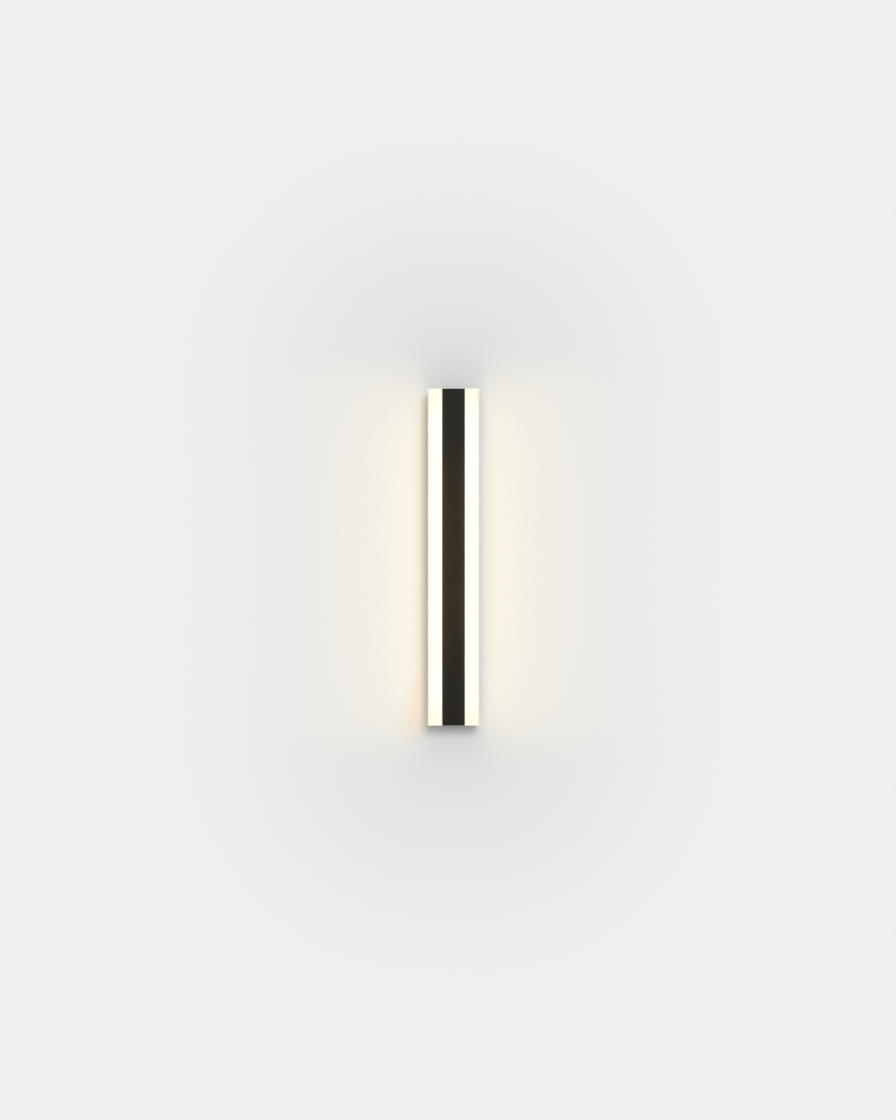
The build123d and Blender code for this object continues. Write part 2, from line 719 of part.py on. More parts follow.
def tray_screws():
    screw = pan_screw(M3_R, TRAY_SCREW_LENGTH, PAN_HEAD_R, PAN_HEAD)
    places = [(x, z) for x in (-TRAY_SCREW_X, TRAY_SCREW_X) for z in (-TRAY_SCREW_Z, 0, TRAY_SCREW_Z)]
    return separate([to_wall(screw, x, TRAY_BACK, z) for x, z in places])


def clamp_plate():
    """Tapped angle inside the tray's top end. The bracket's ear slides in between it and the end wall."""
    profile = angle_profile(TRAY_BACK, CLAMP_OUTER, CLAMP_SHEET, CLAMP_FOOT, CLAMP_REACH, 1)
    plate = along_x(profile, CLAMP_WIDTH / 2)
    tapped = rod_z(
        0, LOCK_Y, M4_R + THREAD_CLEARANCE, CLAMP_OUTER - CLAMP_SHEET - OVERCUT, CLAMP_OUTER + OVERCUT
    )
    return plate - tapped


# Wall bracket

def bracket_ear():
    """Folded ear at the top end, with a slot that opens into the room."""
    profile = angle_profile(0, EAR_OUTER, BRACKET_SHEET, 2 * EAR_SHOULDER, EAR_REACH, -1)
    ear = along_x(profile, EAR_WIDTH / 2)
    tips = ear.edges().filter_by(Axis.Z).group_by(Axis.Y)[0]
    ear = fillet(tips, EAR_CORNER_R)
    slot_r = M4_R + LOCK_SLOT_CLEARANCE
    mouth_y = -EAR_REACH
    mouth = make_face(
        Polyline(
            (-slot_r, LOCK_Y),
            (-slot_r, mouth_y + LOCK_MOUTH_FLARE),
            (-slot_r - LOCK_MOUTH_FLARE, mouth_y),
            (slot_r + LOCK_MOUTH_FLARE, mouth_y),
            (slot_r, mouth_y + LOCK_MOUTH_FLARE),
            (slot_r, LOCK_Y),
            close=True,
        )
    )
    slot = Pos(0, LOCK_Y) * Circle(slot_r) + mouth
    return ear - prism(slot, EAR_INNER - OVERCUT, EAR_OUTER + OVERCUT)


def cable_pan():
    """Pressed pan about the cable hole, as a ring turned about y."""
    outline = Polyline(
        (PAN_R, 0),
        (PAN_R, -BRACKET_SHEET),
        (PAN_R - PAN_SLOPE, -BRACKET_SHEET - PAN_LIFT),
        (CABLE_HOLE_R, -BRACKET_SHEET - PAN_LIFT),
        (CABLE_HOLE_R, -PAN_LIFT),
        (PAN_R - PAN_SLOPE - BRACKET_SHEET / 2, -PAN_LIFT),
        (PAN_R - BRACKET_SHEET / 2, 0),
        close=True,
    )
    return revolve(make_face(outline), Axis.Y)


def wall_bracket():
    shoulder = EAR_OUTER - EAR_SHOULDER
    strap = block(-BRACKET_WIDTH / 2, BRACKET_WIDTH / 2, -BRACKET_SHEET, 0, -shoulder, shoulder)
    strap = fillet(strap.edges().filter_by(Axis.Y), BRACKET_CORNER_R)
    ear = bracket_ear()
    bracket = strap + ear + other_end(ear)
    bracket = bracket - rod_y(0, 0, PAN_R, -BRACKET_SHEET - OVERCUT, OVERCUT) + cable_pan()
    slot = Rot(0, 0, 90) * SlotOverall(SLOT_LENGTH, SLOT_WIDTH)
    for z in (-FIXING_SPACING / 2, FIXING_SPACING / 2):
        bracket = bracket - extrude(
            Plane.XZ * Pos(0, z) * slot, amount=BRACKET_SHEET + OVERCUT, both=True
        )
    for z in (-BOX_SPACING / 2, BOX_SPACING / 2):
        bracket = bracket - rod_y(0, z, BOX_HOLE_R, -BRACKET_SHEET - OVERCUT, OVERCUT)
    return bracket


def cable_grommet():
    bush = grommet(
        CABLE_BORE_R, CABLE_HOLE_R - BUSH_CLEARANCE, CABLE_FLANGE_R, CABLE_FLANGE, BRACKET_SHEET
    )
    return to_wall(bush, 0, -PAN_LIFT - BRACKET_SHEET / 2, 0)


# Lock screws, made for the top end

def lock_washer():
    seat = TRAY_END
    ring = Circle(WASHER_R) - Circle(M4_R + HOLE_CLEARANCE)
    return prism(Pos(0, LOCK_Y) * ring, seat, seat + WASHER)


def lock_screw():
    seat = TRAY_END + WASHER
    head = Cylinder(LOCK_HEAD_R, LOCK_HEAD, align=(Align.CENTER, Align.CENTER, Align.MIN))
    head = chamfer(head.faces().sort_by(Axis.Z)[-1].edges(), LOCK_HEAD_CHAMFER)
    socket = RegularPolygon(LOCK_SOCKET / 2, 6, major_radius=False)
    head = head - prism(socket, LOCK_HEAD - LOCK_SOCKET_DEPTH, LOCK_HEAD + OVERCUT)
    screw = head + rod_z(0, 0, M4_R, -LOCK_SCREW_LENGTH, 0)
    return Pos(0, LOCK_Y, seat) * screw


# Driver, carried by the tray's web inside the spine

def driver_screw_heights():
    return [DRIVER_TOP + DRIVER_EAR / 2, DRIVER_BOTTOM - DRIVER_EAR / 2]


def driver_section(y0, y1):
    return area(-DRIVER_HALF_WIDTH, DRIVER_HALF_WIDTH, y0, y1)


def driver_case():
    front = SPINE_BACK - DRIVER_DEPTH
    base_front = SPINE_BACK - DRIVER_BASE
    case = prism(
        driver_section(front, SPINE_BACK), DRIVER_BOTTOM + DRIVER_COVER, DRIVER_TOP - DRIVER_COVER
    )
    case = fillet(case.edges().filter_by(Axis.Z).group_by(Axis.Y)[0], DRIVER_EDGE_R)
    case = case + prism(driver_section(base_front, SPINE_BACK), DRIVER_BOTTOM, DRIVER_TOP)
    for z in driver_screw_heights():
        outward = 1 if z > DRIVER_TOP else -1
        inner = z - outward * DRIVER_EAR
        ear = block(
            -DRIVER_EAR_WIDTH / 2,
            DRIVER_EAR_WIDTH / 2,
            base_front,
            SPINE_BACK,
            min(z, inner),
            max(z, inner),
        )
        case = case + ear + rod_y(0, z, DRIVER_EAR_WIDTH / 2, base_front, SPINE_BACK)
        case = case - rod_y(0, z, M3_R + HOLE_CLEARANCE, base_front - OVERCUT, SPINE_BACK + OVERCUT)
    return case - driver_ribs(front)


def driver_ribs(front):
    """Shallow grooves across the case's front."""
    length = DRIVER_LENGTH - 2 * DRIVER_COVER
    pitch = length / (DRIVER_RIB_COUNT + 1)
    start = DRIVER_BOTTOM + DRIVER_COVER
    grooves = [
        block(
            -DRIVER_HALF_WIDTH / 2,
            DRIVER_HALF_WIDTH / 2,
            front - OVERCUT,
            front + DRIVER_RIB,
            start + (n + 1) * pitch - DRIVER_RIB,
            start + (n + 1) * pitch + DRIVER_RIB,
        )
        for n in range(DRIVER_RIB_COUNT)
    ]
    return Compound(children=grooves)


def driver_cover(z_end, z_inner, lead_x):
    """Cover over one end's terminals, with a blind hole for each lead in its end face."""
    front = SPINE_BACK - DRIVER_DEPTH
    low, high = min(z_end, z_inner), max(z_end, z_inner)
    cover = prism(driver_section(front, SPINE_BACK - DRIVER_BASE), low, high)
    cover = fillet(cover.edges().filter_by(Axis.Z).group_by(Axis.Y)[0], DRIVER_EDGE_R)
    inward = 1 if z_inner > z_end else -1
    hole = rod_z(lead_x, LEAD_Y, LEAD_R + LEAD_HOLE_CLEARANCE, z_end, z_end + inward * LEAD_INSERTION)
    return cover - both_sides(hole)


def driver_screws():
    screw = pan_screw(M3_R, DRIVER_SCREW_LENGTH, PAN_HEAD_R, PAN_HEAD)
    seat = SPINE_BACK - DRIVER_BASE
    return separate([to_room(screw, 0, seat, z) for z in driver_screw_heights()])


# Terminal block, on the tray's web where the mains cable arrives

def pole_places():
    return [-TERMINAL_PITCH, 0.0, TERMINAL_PITCH]


def terminal_lug_x():
    return TERMINAL_PITCH + TERMINAL_POLE / 2 + TERMINAL_LUG / 2 + TERMINAL_CROWN_R


def terminal_screw_places():
    half = TERMINAL_SCREW_SPACING / 2
    return [(x, TERMINAL_Z + dz) for x in pole_places() for dz in (-half, half)]


def terminal_block():
    top = TRAY_BACK + TERMINAL_HEIGHT
    z0, z1 = TERMINAL_Z - TERMINAL_LENGTH / 2, TERMINAL_Z + TERMINAL_LENGTH / 2
    reach = TERMINAL_PITCH + TERMINAL_POLE / 2
    body = block(-reach, reach, TRAY_BACK, TRAY_BACK + TERMINAL_BASE, z0, z1)
    lug_end = terminal_lug_x() + TERMINAL_LUG / 2
    body = body + block(
        -lug_end,
        lug_end,
        TRAY_BACK,
        TRAY_BACK + TERMINAL_BASE,
        TERMINAL_Z - TERMINAL_LUG_WIDTH / 2,
        TERMINAL_Z + TERMINAL_LUG_WIDTH / 2,
    )
    for x in pole_places():
        pole = block(x - TERMINAL_POLE / 2, x + TERMINAL_POLE / 2, TRAY_BACK, top, z0, z1)
        pole = fillet(pole.edges().filter_by(Axis.Z).group_by(Axis.Y)[-1], TERMINAL_CROWN_R)
        seat = CAGE_WIDTH + 2 * CAGE_CLEARANCE
        body = body + pole - prism(Pos(x, CAGE_Y) * Rectangle(seat, seat), z0, z1)
    for x, z in terminal_screw_places():
        body = body - rod_y(x, z, TERMINAL_SCREW_R + HOLE_CLEARANCE, CAGE_Y, top + OVERCUT)
    fixing = rod_y(
        terminal_lug_x(), TERMINAL_Z, M3_R + HOLE_CLEARANCE, TRAY_BACK, TRAY_BACK + TERMINAL_BASE
    )
    return body - both_sides(fixing)


def terminal_cages():
    wall = Rectangle(CAGE_WIDTH, CAGE_WIDTH) - Rectangle(CAGE_BORE, CAGE_BORE)
    cages = []
    for x in pole_places():
        cage = prism(Pos(x, CAGE_Y) * wall, TERMINAL_Z - CAGE_LENGTH / 2, TERMINAL_TOP)
        for screw_x, z in terminal_screw_places():
            if screw_x == x:
                cage = cage - rod_y(x, z, TERMINAL_SCREW_R + THREAD_CLEARANCE, CAGE_Y, CAGE_Y + CAGE_WIDTH)
        cages.append(cage)
    return separate(cages)


def terminal_screws():
    """Grub screws, their points on the cores."""
    head = TRAY_BACK + TERMINAL_HEIGHT - TERMINAL_SCREW_SINK
    screws = []
    for x, z in terminal_screw_places():
        screw = rod_y(x, z, TERMINAL_SCREW_R, CAGE_Y + CORE_R, head)
        slit = block(
            x - TERMINAL_SCREW_R,
            x + TERMINAL_SCREW_R,
            head - TERMINAL_SLIT,
            head,
            z - TERMINAL_SLIT / 2,
            z + TERMINAL_SLIT / 2,
        )
        screws.append(screw - slit)
    return separate(screws)


def terminal_fixing_screws():
    screw = pan_screw(M3_R, TERMINAL_BASE + TRAY_SHEET, PAN_HEAD_R, PAN_HEAD)
    right = to_wall(screw, terminal_lug_x(), TRAY_BACK + TERMINAL_BASE, TERMINAL_Z)
    return separate([right, other_side(right)])


# Leads

def supply_lead(pole_x, spread_x, rise, slant):
    """From a terminal up the tray, through the web's bush and down the spine to the driver."""
    start = TERMINAL_TOP - LEAD_INSERTION
    points = [
        (pole_x, CAGE_Y, start),
        (pole_x, CAGE_Y, TERMINAL_TOP + rise),
        (spread_x, CAGE_Y, TERMINAL_TOP + slant),
        (spread_x, CAGE_Y, WEB_BUSH_Z),
        (spread_x, LEAD_Y, WEB_BUSH_Z),
        (spread_x, LEAD_Y, DRIVER_TOP - LEAD_INSERTION),
    ]
    turn_r = SPINE_BACK - LEAD_Y - WEB_BUSH_FLANGE
    into_web_r = TRAY_BACK - CAGE_Y
    return lead(points, [CORE_BEND_R, CORE_BEND_R, -into_web_r, min(turn_r, CORE_BEND_R)], CORE_R)


def earth_lead():
    barrel_y = TRAY_BACK + LUG_BARREL_R
    neck = LUG_Z - LUG_NECK
    points = [
        (TERMINAL_PITCH, CAGE_Y, TERMINAL_TOP - LEAD_INSERTION),
        (TERMINAL_PITCH, CAGE_Y, TERMINAL_TOP + EARTH_RISE),
        (LUG_X, barrel_y, neck - LUG_BARREL_LENGTH - EARTH_STRAIGHT),
        (LUG_X, barrel_y, neck),
    ]
    return lead(points, [EARTH_BEND_R, EARTH_BEND_R], CORE_R)


def earth_lug():
    barrel_y = TRAY_BACK + LUG_BARREL_R
    neck = LUG_Z - LUG_NECK
    plate_back = TRAY_BACK + LUG_PLATE
    palm = rod_y(LUG_X, LUG_Z, LUG_R, TRAY_BACK, plate_back)
    strap = block(
        LUG_X - LUG_BARREL_R, LUG_X + LUG_BARREL_R, TRAY_BACK, plate_back, neck - OVERCUT, LUG_Z
    )
    barrel = rod_z(LUG_X, barrel_y, LUG_BARREL_R, neck - LUG_BARREL_LENGTH, neck + OVERCUT)
    bore = rod_z(
        LUG_X, barrel_y, CORE_R + THREAD_CLEARANCE, neck - LUG_BARREL_LENGTH - OVERCUT, neck
    )
    hole = rod_y(LUG_X, LUG_Z, M4_R + HOLE_CLEARANCE, TRAY_BACK - OVERCUT, plate_back + OVERCUT)
    return palm + strap + barrel - bore - hole


def earth_screw():
    screw = pan_screw(M4_R, EARTH_SCREW_LENGTH, M4_HEAD_R, M4_HEAD)
    return to_wall(screw, LUG_X, TRAY_BACK + LUG_PLATE, LUG_Z)


def web_grommet():
    bush = grommet(
        WEB_BUSH_BORE_R, WEB_BUSH_HOLE_R - BUSH_CLEARANCE, WEB_BUSH_FLANGE_R, WEB_BUSH_FLANGE, TRAY_SHEET
    )
    return to_wall(bush, 0, SPINE_BACK + TRAY_SHEET / 2, WEB_BUSH_Z)


def all_pieces():
    """Every node's name and shape."""
    pieces = {
        "spine": spine(),
        "back_tray": back_tray(),
        "tray_screws": tray_screws(),
        "wall_bracket": wall_bracket(),
        "cable_grommet": cable_grommet(),
        "web_grommet": web_grommet(),
        "driver_case": driver_case(),
        "driver_input_cover": driver_cover(DRIVER_TOP, DRIVER_TOP - DRIVER_COVER, SUPPLY_SPREAD),
        "driver_output_cover": driver_cover(DRIVER_BOTTOM, DRIVER_BOTTOM + DRIVER_COVER, LED_LEAD_X),
        "driver_screws": driver_screws(),
        "terminal_block": terminal_block(),
        "terminal_cages": terminal_cages(),
        "terminal_screws": terminal_screws(),
        "terminal_fixing_screws": terminal_fixing_screws(),
        "lead_live": supply_lead(-TERMINAL_PITCH, -SUPPLY_SPREAD, LIVE_RISE, LIVE_SLANT),
        "lead_neutral": supply_lead(0.0, SUPPLY_SPREAD, NEUTRAL_RISE, NEUTRAL_SLANT),
        "lead_earth": earth_lead(),
        "earth_lug": earth_lug(),
        "earth_screw": earth_screw(),
    }
    right_hand = {
        "diffuser": diffuser_right(),
        "thermal_tape": thermal_tape(),
        "led_board": led_board(),
        "led_chips": led_chips(),
        "reflector": reflector(),
        "led_plug": led_plug(),
        "led_lead": led_lead(),
        "lead_bush": lead_bush(),
    }
    for name, shape in right_hand.items():
        pieces[name + "_right"] = shape
        pieces[name + "_left"] = separate([other_side(solid) for solid in shape.solids()])
    top_end = {
        "end_cap": end_cap(),
        "end_gasket": end_gasket(),
        "end_cap_screws": end_cap_screws(),
        "clamp_plate": clamp_plate(),
        "lock_washer": lock_washer(),
        "lock_screw": lock_screw(),
    }
    for name, shape in top_end.items():
        pieces[name + "_top"] = shape
        pieces[name + "_bottom"] = separate([other_end(solid) for solid in shape.solids()])
    return pieces


os.makedirs("parts", exist_ok=True)
for node, piece in all_pieces().items():
    export_step(piece, os.path.join("parts", node + ".step"))
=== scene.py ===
import collections
import contextlib
import functools
import json
import math

import bmesh
import bpy
from mathutils import Matrix, Vector

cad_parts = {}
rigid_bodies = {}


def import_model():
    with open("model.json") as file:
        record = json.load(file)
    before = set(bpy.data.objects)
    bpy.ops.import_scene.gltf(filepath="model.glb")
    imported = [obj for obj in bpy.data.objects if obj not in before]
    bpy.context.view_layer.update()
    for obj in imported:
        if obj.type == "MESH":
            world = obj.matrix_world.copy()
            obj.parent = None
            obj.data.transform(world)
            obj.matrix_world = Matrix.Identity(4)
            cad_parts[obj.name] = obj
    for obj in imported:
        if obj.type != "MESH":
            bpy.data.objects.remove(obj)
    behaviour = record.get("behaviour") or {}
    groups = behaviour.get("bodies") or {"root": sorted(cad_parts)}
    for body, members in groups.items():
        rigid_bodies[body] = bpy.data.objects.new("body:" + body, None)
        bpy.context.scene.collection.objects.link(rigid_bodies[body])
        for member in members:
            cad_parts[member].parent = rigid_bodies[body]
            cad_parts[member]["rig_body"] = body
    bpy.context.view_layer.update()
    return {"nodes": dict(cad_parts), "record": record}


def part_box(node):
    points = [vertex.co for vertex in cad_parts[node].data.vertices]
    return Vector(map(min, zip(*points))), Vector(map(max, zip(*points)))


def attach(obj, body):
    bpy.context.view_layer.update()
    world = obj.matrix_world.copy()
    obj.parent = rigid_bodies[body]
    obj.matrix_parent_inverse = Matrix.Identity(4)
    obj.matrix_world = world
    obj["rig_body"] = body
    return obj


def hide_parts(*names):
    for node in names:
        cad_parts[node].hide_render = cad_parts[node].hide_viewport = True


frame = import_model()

bl_info = {
    "name": "Twin strip wall light",
    "version": (1, 0, 0),
    "blender": (4, 5, 0),
    "location": "View3D > Sidebar > Wall light",
    "description": "Finishes, fastenings, bushes and leads of a slim upright LED wall light, on a lit wall",
    "category": "Object",
}

MM = 0.001
Corner = collections.namedtuple("Corner", "x y z")


def box(node):
    """The low and the high corner of a node's box, in millimetres."""
    return [Corner(*(value / MM for value in corner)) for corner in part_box(node)]


def middle_of(low, high):
    return Corner(*((a + b) / 2 for a, b in zip(low, high)))


# Places that the frame gives, in millimetres
OPAL_LOW, OPAL_HIGH = box("diffuser_right")
HALF_HEIGHT = OPAL_HIGH.z
HALF_WIDTH = OPAL_HIGH.x
FRONT = OPAL_LOW.y
BACK = OPAL_HIGH.y
BAR_EDGE = OPAL_LOW.x

# The photograph's frame, and the lamp's outline in it
FRAME_WIDTH_PX = 896
FRAME_HEIGHT_PX = 1120
LAMP_TOP_PX = 388.5
LAMP_BOTTOM_PX = 725.6
LAMP_MIDDLE_PX = 453.5


# Shader building

class Channel:
    """A shader value. Python's operators on it add Math nodes."""

    def __init__(self, tree, socket):
        self.tree = tree
        self.socket = socket

    def math(self, operation, *values):
        return self.tree.node("ShaderNodeMath", {"operation": operation}, dict(enumerate(values)))

    def __add__(self, other):
        return self.math("ADD", self, other)

    __radd__ = __add__

    def __sub__(self, other):
        return self.math("SUBTRACT", self, other)

    def __rsub__(self, other):
        return self.math("SUBTRACT", other, self)

    def __mul__(self, other):
        return self.math("MULTIPLY", self, other)

    __rmul__ = __mul__

    def __truediv__(self, other):
        return self.math("DIVIDE", self, other)

    def __pow__(self, other):
        return self.math("POWER", self, other)

    def __abs__(self):
        return self.math("ABSOLUTE", self)

    def __mod__(self, other):
        return self.math("FLOORED_MODULO", self, other)

    def at_least(self, limit):
        return self.math("MAXIMUM", self, limit)

    def at_most(self, limit):
        return self.math("MINIMUM", self, limit)

    def over(self, limit):
        """1 where this is more than the limit, else 0."""
        return self.math("GREATER_THAN", self, limit)

    def ramp(self, start, end):
        """0 at start and 1 at end, smoothly between. end may be the lower one."""
        return self.tree.node(
            "ShaderNodeMapRange",
            {"interpolation_type": "SMOOTHSTEP"},
            {"Value": self, "From Min": start, "From Max": end},
        )

    def part(self, axis):
        """A vector's part along X, Y or Z."""
        return self.tree.node("ShaderNodeSeparateXYZ", {}, {0: self}, axis)

    def parts(self):
        return [self.part(axis) for axis in "XYZ"]


class ShaderTree:
    """The nodes of a material or a world, from empty."""

    def __init__(self, owner):
        owner.use_nodes = True
        self.nodes = owner.node_tree.nodes
        self.links = owner.node_tree.links
        self.nodes.clear()

    def node(self, kind, settings, inputs, output=0):
        """Adds a node, sets it up, fills its sockets, and gives one of its outputs as a channel."""
        made = self.nodes.new(kind)
        for name, value in settings.items():
            setattr(made, name, value)
        for name, value in inputs.items():
            if isinstance(value, Channel):
                self.links.new(value.socket, made.inputs[name])
            else:
                made.inputs[name].default_value = value
        return Channel(self, made.outputs[output]) if made.outputs else None


class Finish(ShaderTree):
    """A material under construction."""

    def __init__(self, name):
        self.material = bpy.data.materials.new(name)
        super().__init__(self.material)

    def place(self):
        """The point on the piece in the lamp's frame, in millimetres."""
        metres = self.node("ShaderNodeTexCoord", {}, {}, "Object")
        return self.node("ShaderNodeVectorMath", {"operation": "SCALE"}, {0: metres, "Scale": 1 / MM})

    def noise(self, place, cell, stretch=(1, 1, 1), detail=4.0, roughness=0.55):
        """Noise from 0 to 1 whose features are about a cell across, in millimetres, times the stretch."""
        scale = [1 / (cell * factor) for factor in stretch]
        scaled = self.node("ShaderNodeMapping", {"vector_type": "POINT"}, {"Vector": place, "Scale": scale})
        inputs = {"Vector": scaled, "Scale": 1.0, "Detail": detail, "Roughness": roughness}
        return self.node("ShaderNodeTexNoise", {"noise_dimensions": "3D"}, inputs)

    def blend(self, factor, first, second):
        """One colour, passing into another as the factor goes from 0 to 1."""
        colors = [color if isinstance(color, Channel) else (*color, 1.0) for color in (first, second)]
        inputs = {0: factor, 6: colors[0], 7: colors[1]}
        return self.node("ShaderNodeMix", {"data_type": "RGBA", "clamp_factor": True}, inputs, 2)

    def relief(self, height, depth, strength=1.0):
        """A bump whose full height is depth millimetres."""
        inputs = {"Strength": strength, "Distance": depth * MM, "Height": height}
        return self.node("ShaderNodeBump", {}, inputs)

    def surface(self, **sockets):
        """Ends the material in a Principled surface. Socket names have _ for a space."""
        inputs = {name.replace("_", " "): value for name, value in sockets.items()}
        shader = self.node("ShaderNodeBsdfPrincipled", {}, inputs)
        self.node("ShaderNodeOutputMaterial", {"target": "ALL"}, {"Surface": shader})
        return self.material


# Finishes. Lengths are in millimetres.

# How far in from the front, the sides and the ends the tones of the opal walls reach, and how far the painted
# glow and painted shade on the bar reach
OPAL_SKIN = 1.9
CORNER_FROM = 0.3
CORNER_TO = 3.2
OPAL_EDGE_REACH = 5.5
OPAL_END_FROM = 6
OPAL_END_TO = 36
BAR_GLOW_REACH = 9
BAR_END_SHADE_FROM = 20
BAR_END_SHADE_TO = 150
BAR_FACE_DEPTH = 5


def opal():
    """Satin opal acrylic, lit from inside: warmer on the sides and toward the ends."""
    settings = bpy.context.scene.wall_light
    finish = Finish("opal acrylic")
    place = finish.place()
    x, y, z = place.parts()
    from_front = y - FRONT
    side = from_front.ramp(CORNER_FROM, CORNER_TO)
    end = abs(z).ramp(HALF_HEIGHT - OPAL_END_TO, HALF_HEIGHT - OPAL_END_FROM)
    across = abs(x).ramp(HALF_WIDTH - OPAL_EDGE_REACH, HALF_WIDTH)
    front_face = finish.blend(across * 0.8, settings.front_light, settings.edge_light)
    front_face = finish.blend(end, front_face, settings.end_light)
    side_face = finish.blend(end * 0.6, settings.side_light, settings.edge_light)
    lit = finish.blend(side, front_face, side_face)
    inside = from_front.over(OPAL_SKIN) * (1 - abs(x).over(HALF_WIDTH - OPAL_SKIN))
    lit = finish.blend(inside, lit, settings.inner_light)
    grain = finish.noise(place, 0.35, detail=2.0)
    return finish.surface(
        Base_Color=(0.42, 0.41, 0.38, 1.0),
        Roughness=0.42 + grain * 0.08,
        Specular_IOR_Level=0.3,
        Normal=finish.relief(grain, 0.01, 0.3),
        Emission_Color=lit,
        Emission_Strength=settings.light_level,
    )


def bar_black():
    """Black anodised extrusion with the fine lines of the die; the strips' warm light on its face is painted
    into its colour, strongest at its edges, with painted shade toward its ends.
    """
    settings = bpy.context.scene.wall_light
    finish = Finish("black anodised bar")
    place = finish.place()
    x, y, z = place.parts()
    lines = finish.noise(place, 0.12, (1, 1, 900), 3.0, 0.7)
    clouds = finish.noise(place, 14.0, (1, 1, 2.5), 3.0)
    edge = abs(x).ramp(BAR_EDGE - BAR_GLOW_REACH, BAR_EDGE)
    end = abs(z).ramp(HALF_HEIGHT - BAR_END_SHADE_TO, HALF_HEIGHT - BAR_END_SHADE_FROM)
    # painted shade: the painted glow in the bar's colour fades to plain black toward the ends
    body = finish.blend(end, settings.bar_black_and_glow, (0.009, 0.009, 0.0055))
    # painted glow of the lit strips along the bar's edges
    warm = finish.blend(edge * (1 - end * 0.7), body, settings.bar_edge_painted_glow)
    # where the strips cover the bar, its plain black without painted glow
    behind_strips = (y - FRONT).over(BAR_FACE_DEPTH)
    tone = finish.blend(behind_strips, warm, (0.013, 0.013, 0.0135))
    color = finish.blend(clouds.ramp(0.3, 0.8) * 0.25, tone, (0.007, 0.006, 0.005))
    return finish.surface(
        Base_Color=color,
        Roughness=0.44 + lines * 0.1 + clouds * 0.05,
        Specular_IOR_Level=0.08,
        Normal=finish.relief(lines, 0.012, 0.5),
    )


def powder_black():
    """Matte black powder coat with its orange peel."""
    finish = Finish("black powder coat")
    place = finish.place()
    peel = finish.noise(place, 0.9, detail=2.0)
    speckle = finish.noise(place, 0.2, detail=1.0)
    color = finish.blend(speckle.ramp(0.45, 0.75), (0.014, 0.014, 0.014), (0.03, 0.03, 0.031))
    return finish.surface(
        Base_Color=color,
        Roughness=0.5 + peel * 0.14,
        Specular_IOR_Level=0.3,
        Normal=finish.relief(peel * 0.75 + speckle * 0.25, 0.05, 0.7),
    )


def moulded(name, low, high, texture, roughness, gloss=0.3):
    """Moulded plastic: two close colours, a spark-eroded texture of that cell, and soft flow clouds."""
    finish = Finish(name)
    place = finish.place()
    grain = finish.noise(place, texture, detail=3.0)
    flow = finish.noise(place, 9.0, (1, 1, 2), 2.0)
    return finish.surface(
        Base_Color=finish.blend(flow.ramp(0.3, 0.7), low, high),
        Roughness=roughness + grain * 0.12,
        Specular_IOR_Level=gloss,
        Normal=finish.relief(grain, texture * 0.08, 0.6),
    )


def cap_black():
    return moulded("moulded black cap", (0.012, 0.012, 0.012), (0.017, 0.017, 0.017), 0.25, 0.5, 0.18)


def cover_grey():
    return moulded("grey driver cover", (0.34, 0.35, 0.36), (0.4, 0.41, 0.42), 0.3, 0.45)


def driver_white():
    return moulded("white driver case", (0.72, 0.72, 0.7), (0.78, 0.78, 0.76), 0.3, 0.45)


def nylon():
    """Natural nylon, slightly see-through: a soft cream with a sheen."""
    finish = Finish("natural nylon")
    place = finish.place()
    flow = finish.noise(place, 4.0, detail=2.0)
    grain = finish.noise(place, 0.2, detail=1.0)
    return finish.surface(
        Base_Color=finish.blend(flow.ramp(0.3, 0.7), (0.74, 0.7, 0.6), (0.82, 0.79, 0.7)),
        Roughness=0.36 + grain * 0.1,
        Subsurface_Weight=0.12,
        Subsurface_Radius=(0.002, 0.0016, 0.001),
        Normal=finish.relief(grain, 0.01, 0.4),
    )


def rubber(name, cell):
    """Black rubber: dull, with a faint bloom and a fine skin."""
    finish = Finish(name)
    place = finish.place()
    skin = finish.noise(place, cell, detail=4.0)
    bloom = finish.noise(place, 3.0, detail=3.0)
    return finish.surface(
        Base_Color=finish.blend(bloom.ramp(0.45, 0.8), (0.012, 0.012, 0.012), (0.034, 0.034, 0.033)),
        Roughness=0.62 + skin * 0.16,
        Specular_IOR_Level=0.35,
        Normal=finish.relief(skin, 0.03, 0.6),
    )


def gasket_black():
    return rubber("black foam gasket", 0.5)


def bush_black():
    return rubber("black rubber bush", 0.25)


def metal(name, low, high, roughness, streak=(1, 1, 1), cell=6.0, scratch=0.015):
    """Bare or plated metal: two close colours in clouds, and fine marks stretched along the rolling."""
    finish = Finish(name)
    place = finish.place()
    clouds = finish.noise(place, cell, detail=5.0, roughness=0.6)
    marks = finish.noise(place, 0.12, streak, 3.0, 0.7)
    return finish.surface(
        Base_Color=finish.blend(clouds.ramp(0.3, 0.7), low, high),
        Metallic=1.0,
        Roughness=roughness + clouds * 0.12 + marks * 0.08,
        Normal=finish.relief(marks, scratch, 0.5),
    )


def zinc():
    """Bright zinc plate: silvery, with rolling lines up the sheet and a faint cloud of blue and straw."""
    finish = Finish("bright zinc plate")
    place = finish.place()
    clouds = finish.noise(place, 16.0, (1, 1, 2.5), 3.0)
    rolling = finish.noise(place, 0.22, (1, 1, 120), 3.0, 0.7)
    fine = finish.noise(place, 0.5, detail=3.0)
    tint = finish.blend(clouds.ramp(0.25, 0.75), (0.4, 0.415, 0.435), (0.465, 0.46, 0.44))
    return finish.surface(
        Base_Color=finish.blend(rolling.ramp(0.35, 0.8) * 0.4, tint, (0.31, 0.315, 0.32)),
        Metallic=1.0,
        Roughness=0.26 + clouds * 0.08 + rolling * 0.1 + fine * 0.05,
        Normal=finish.relief(rolling * 0.7 + fine * 0.3, 0.012, 0.5),
    )


def screw_black():
    return metal("black oxide", (0.03, 0.031, 0.034), (0.06, 0.06, 0.064), 0.3, (1, 1, 1), 1.5)


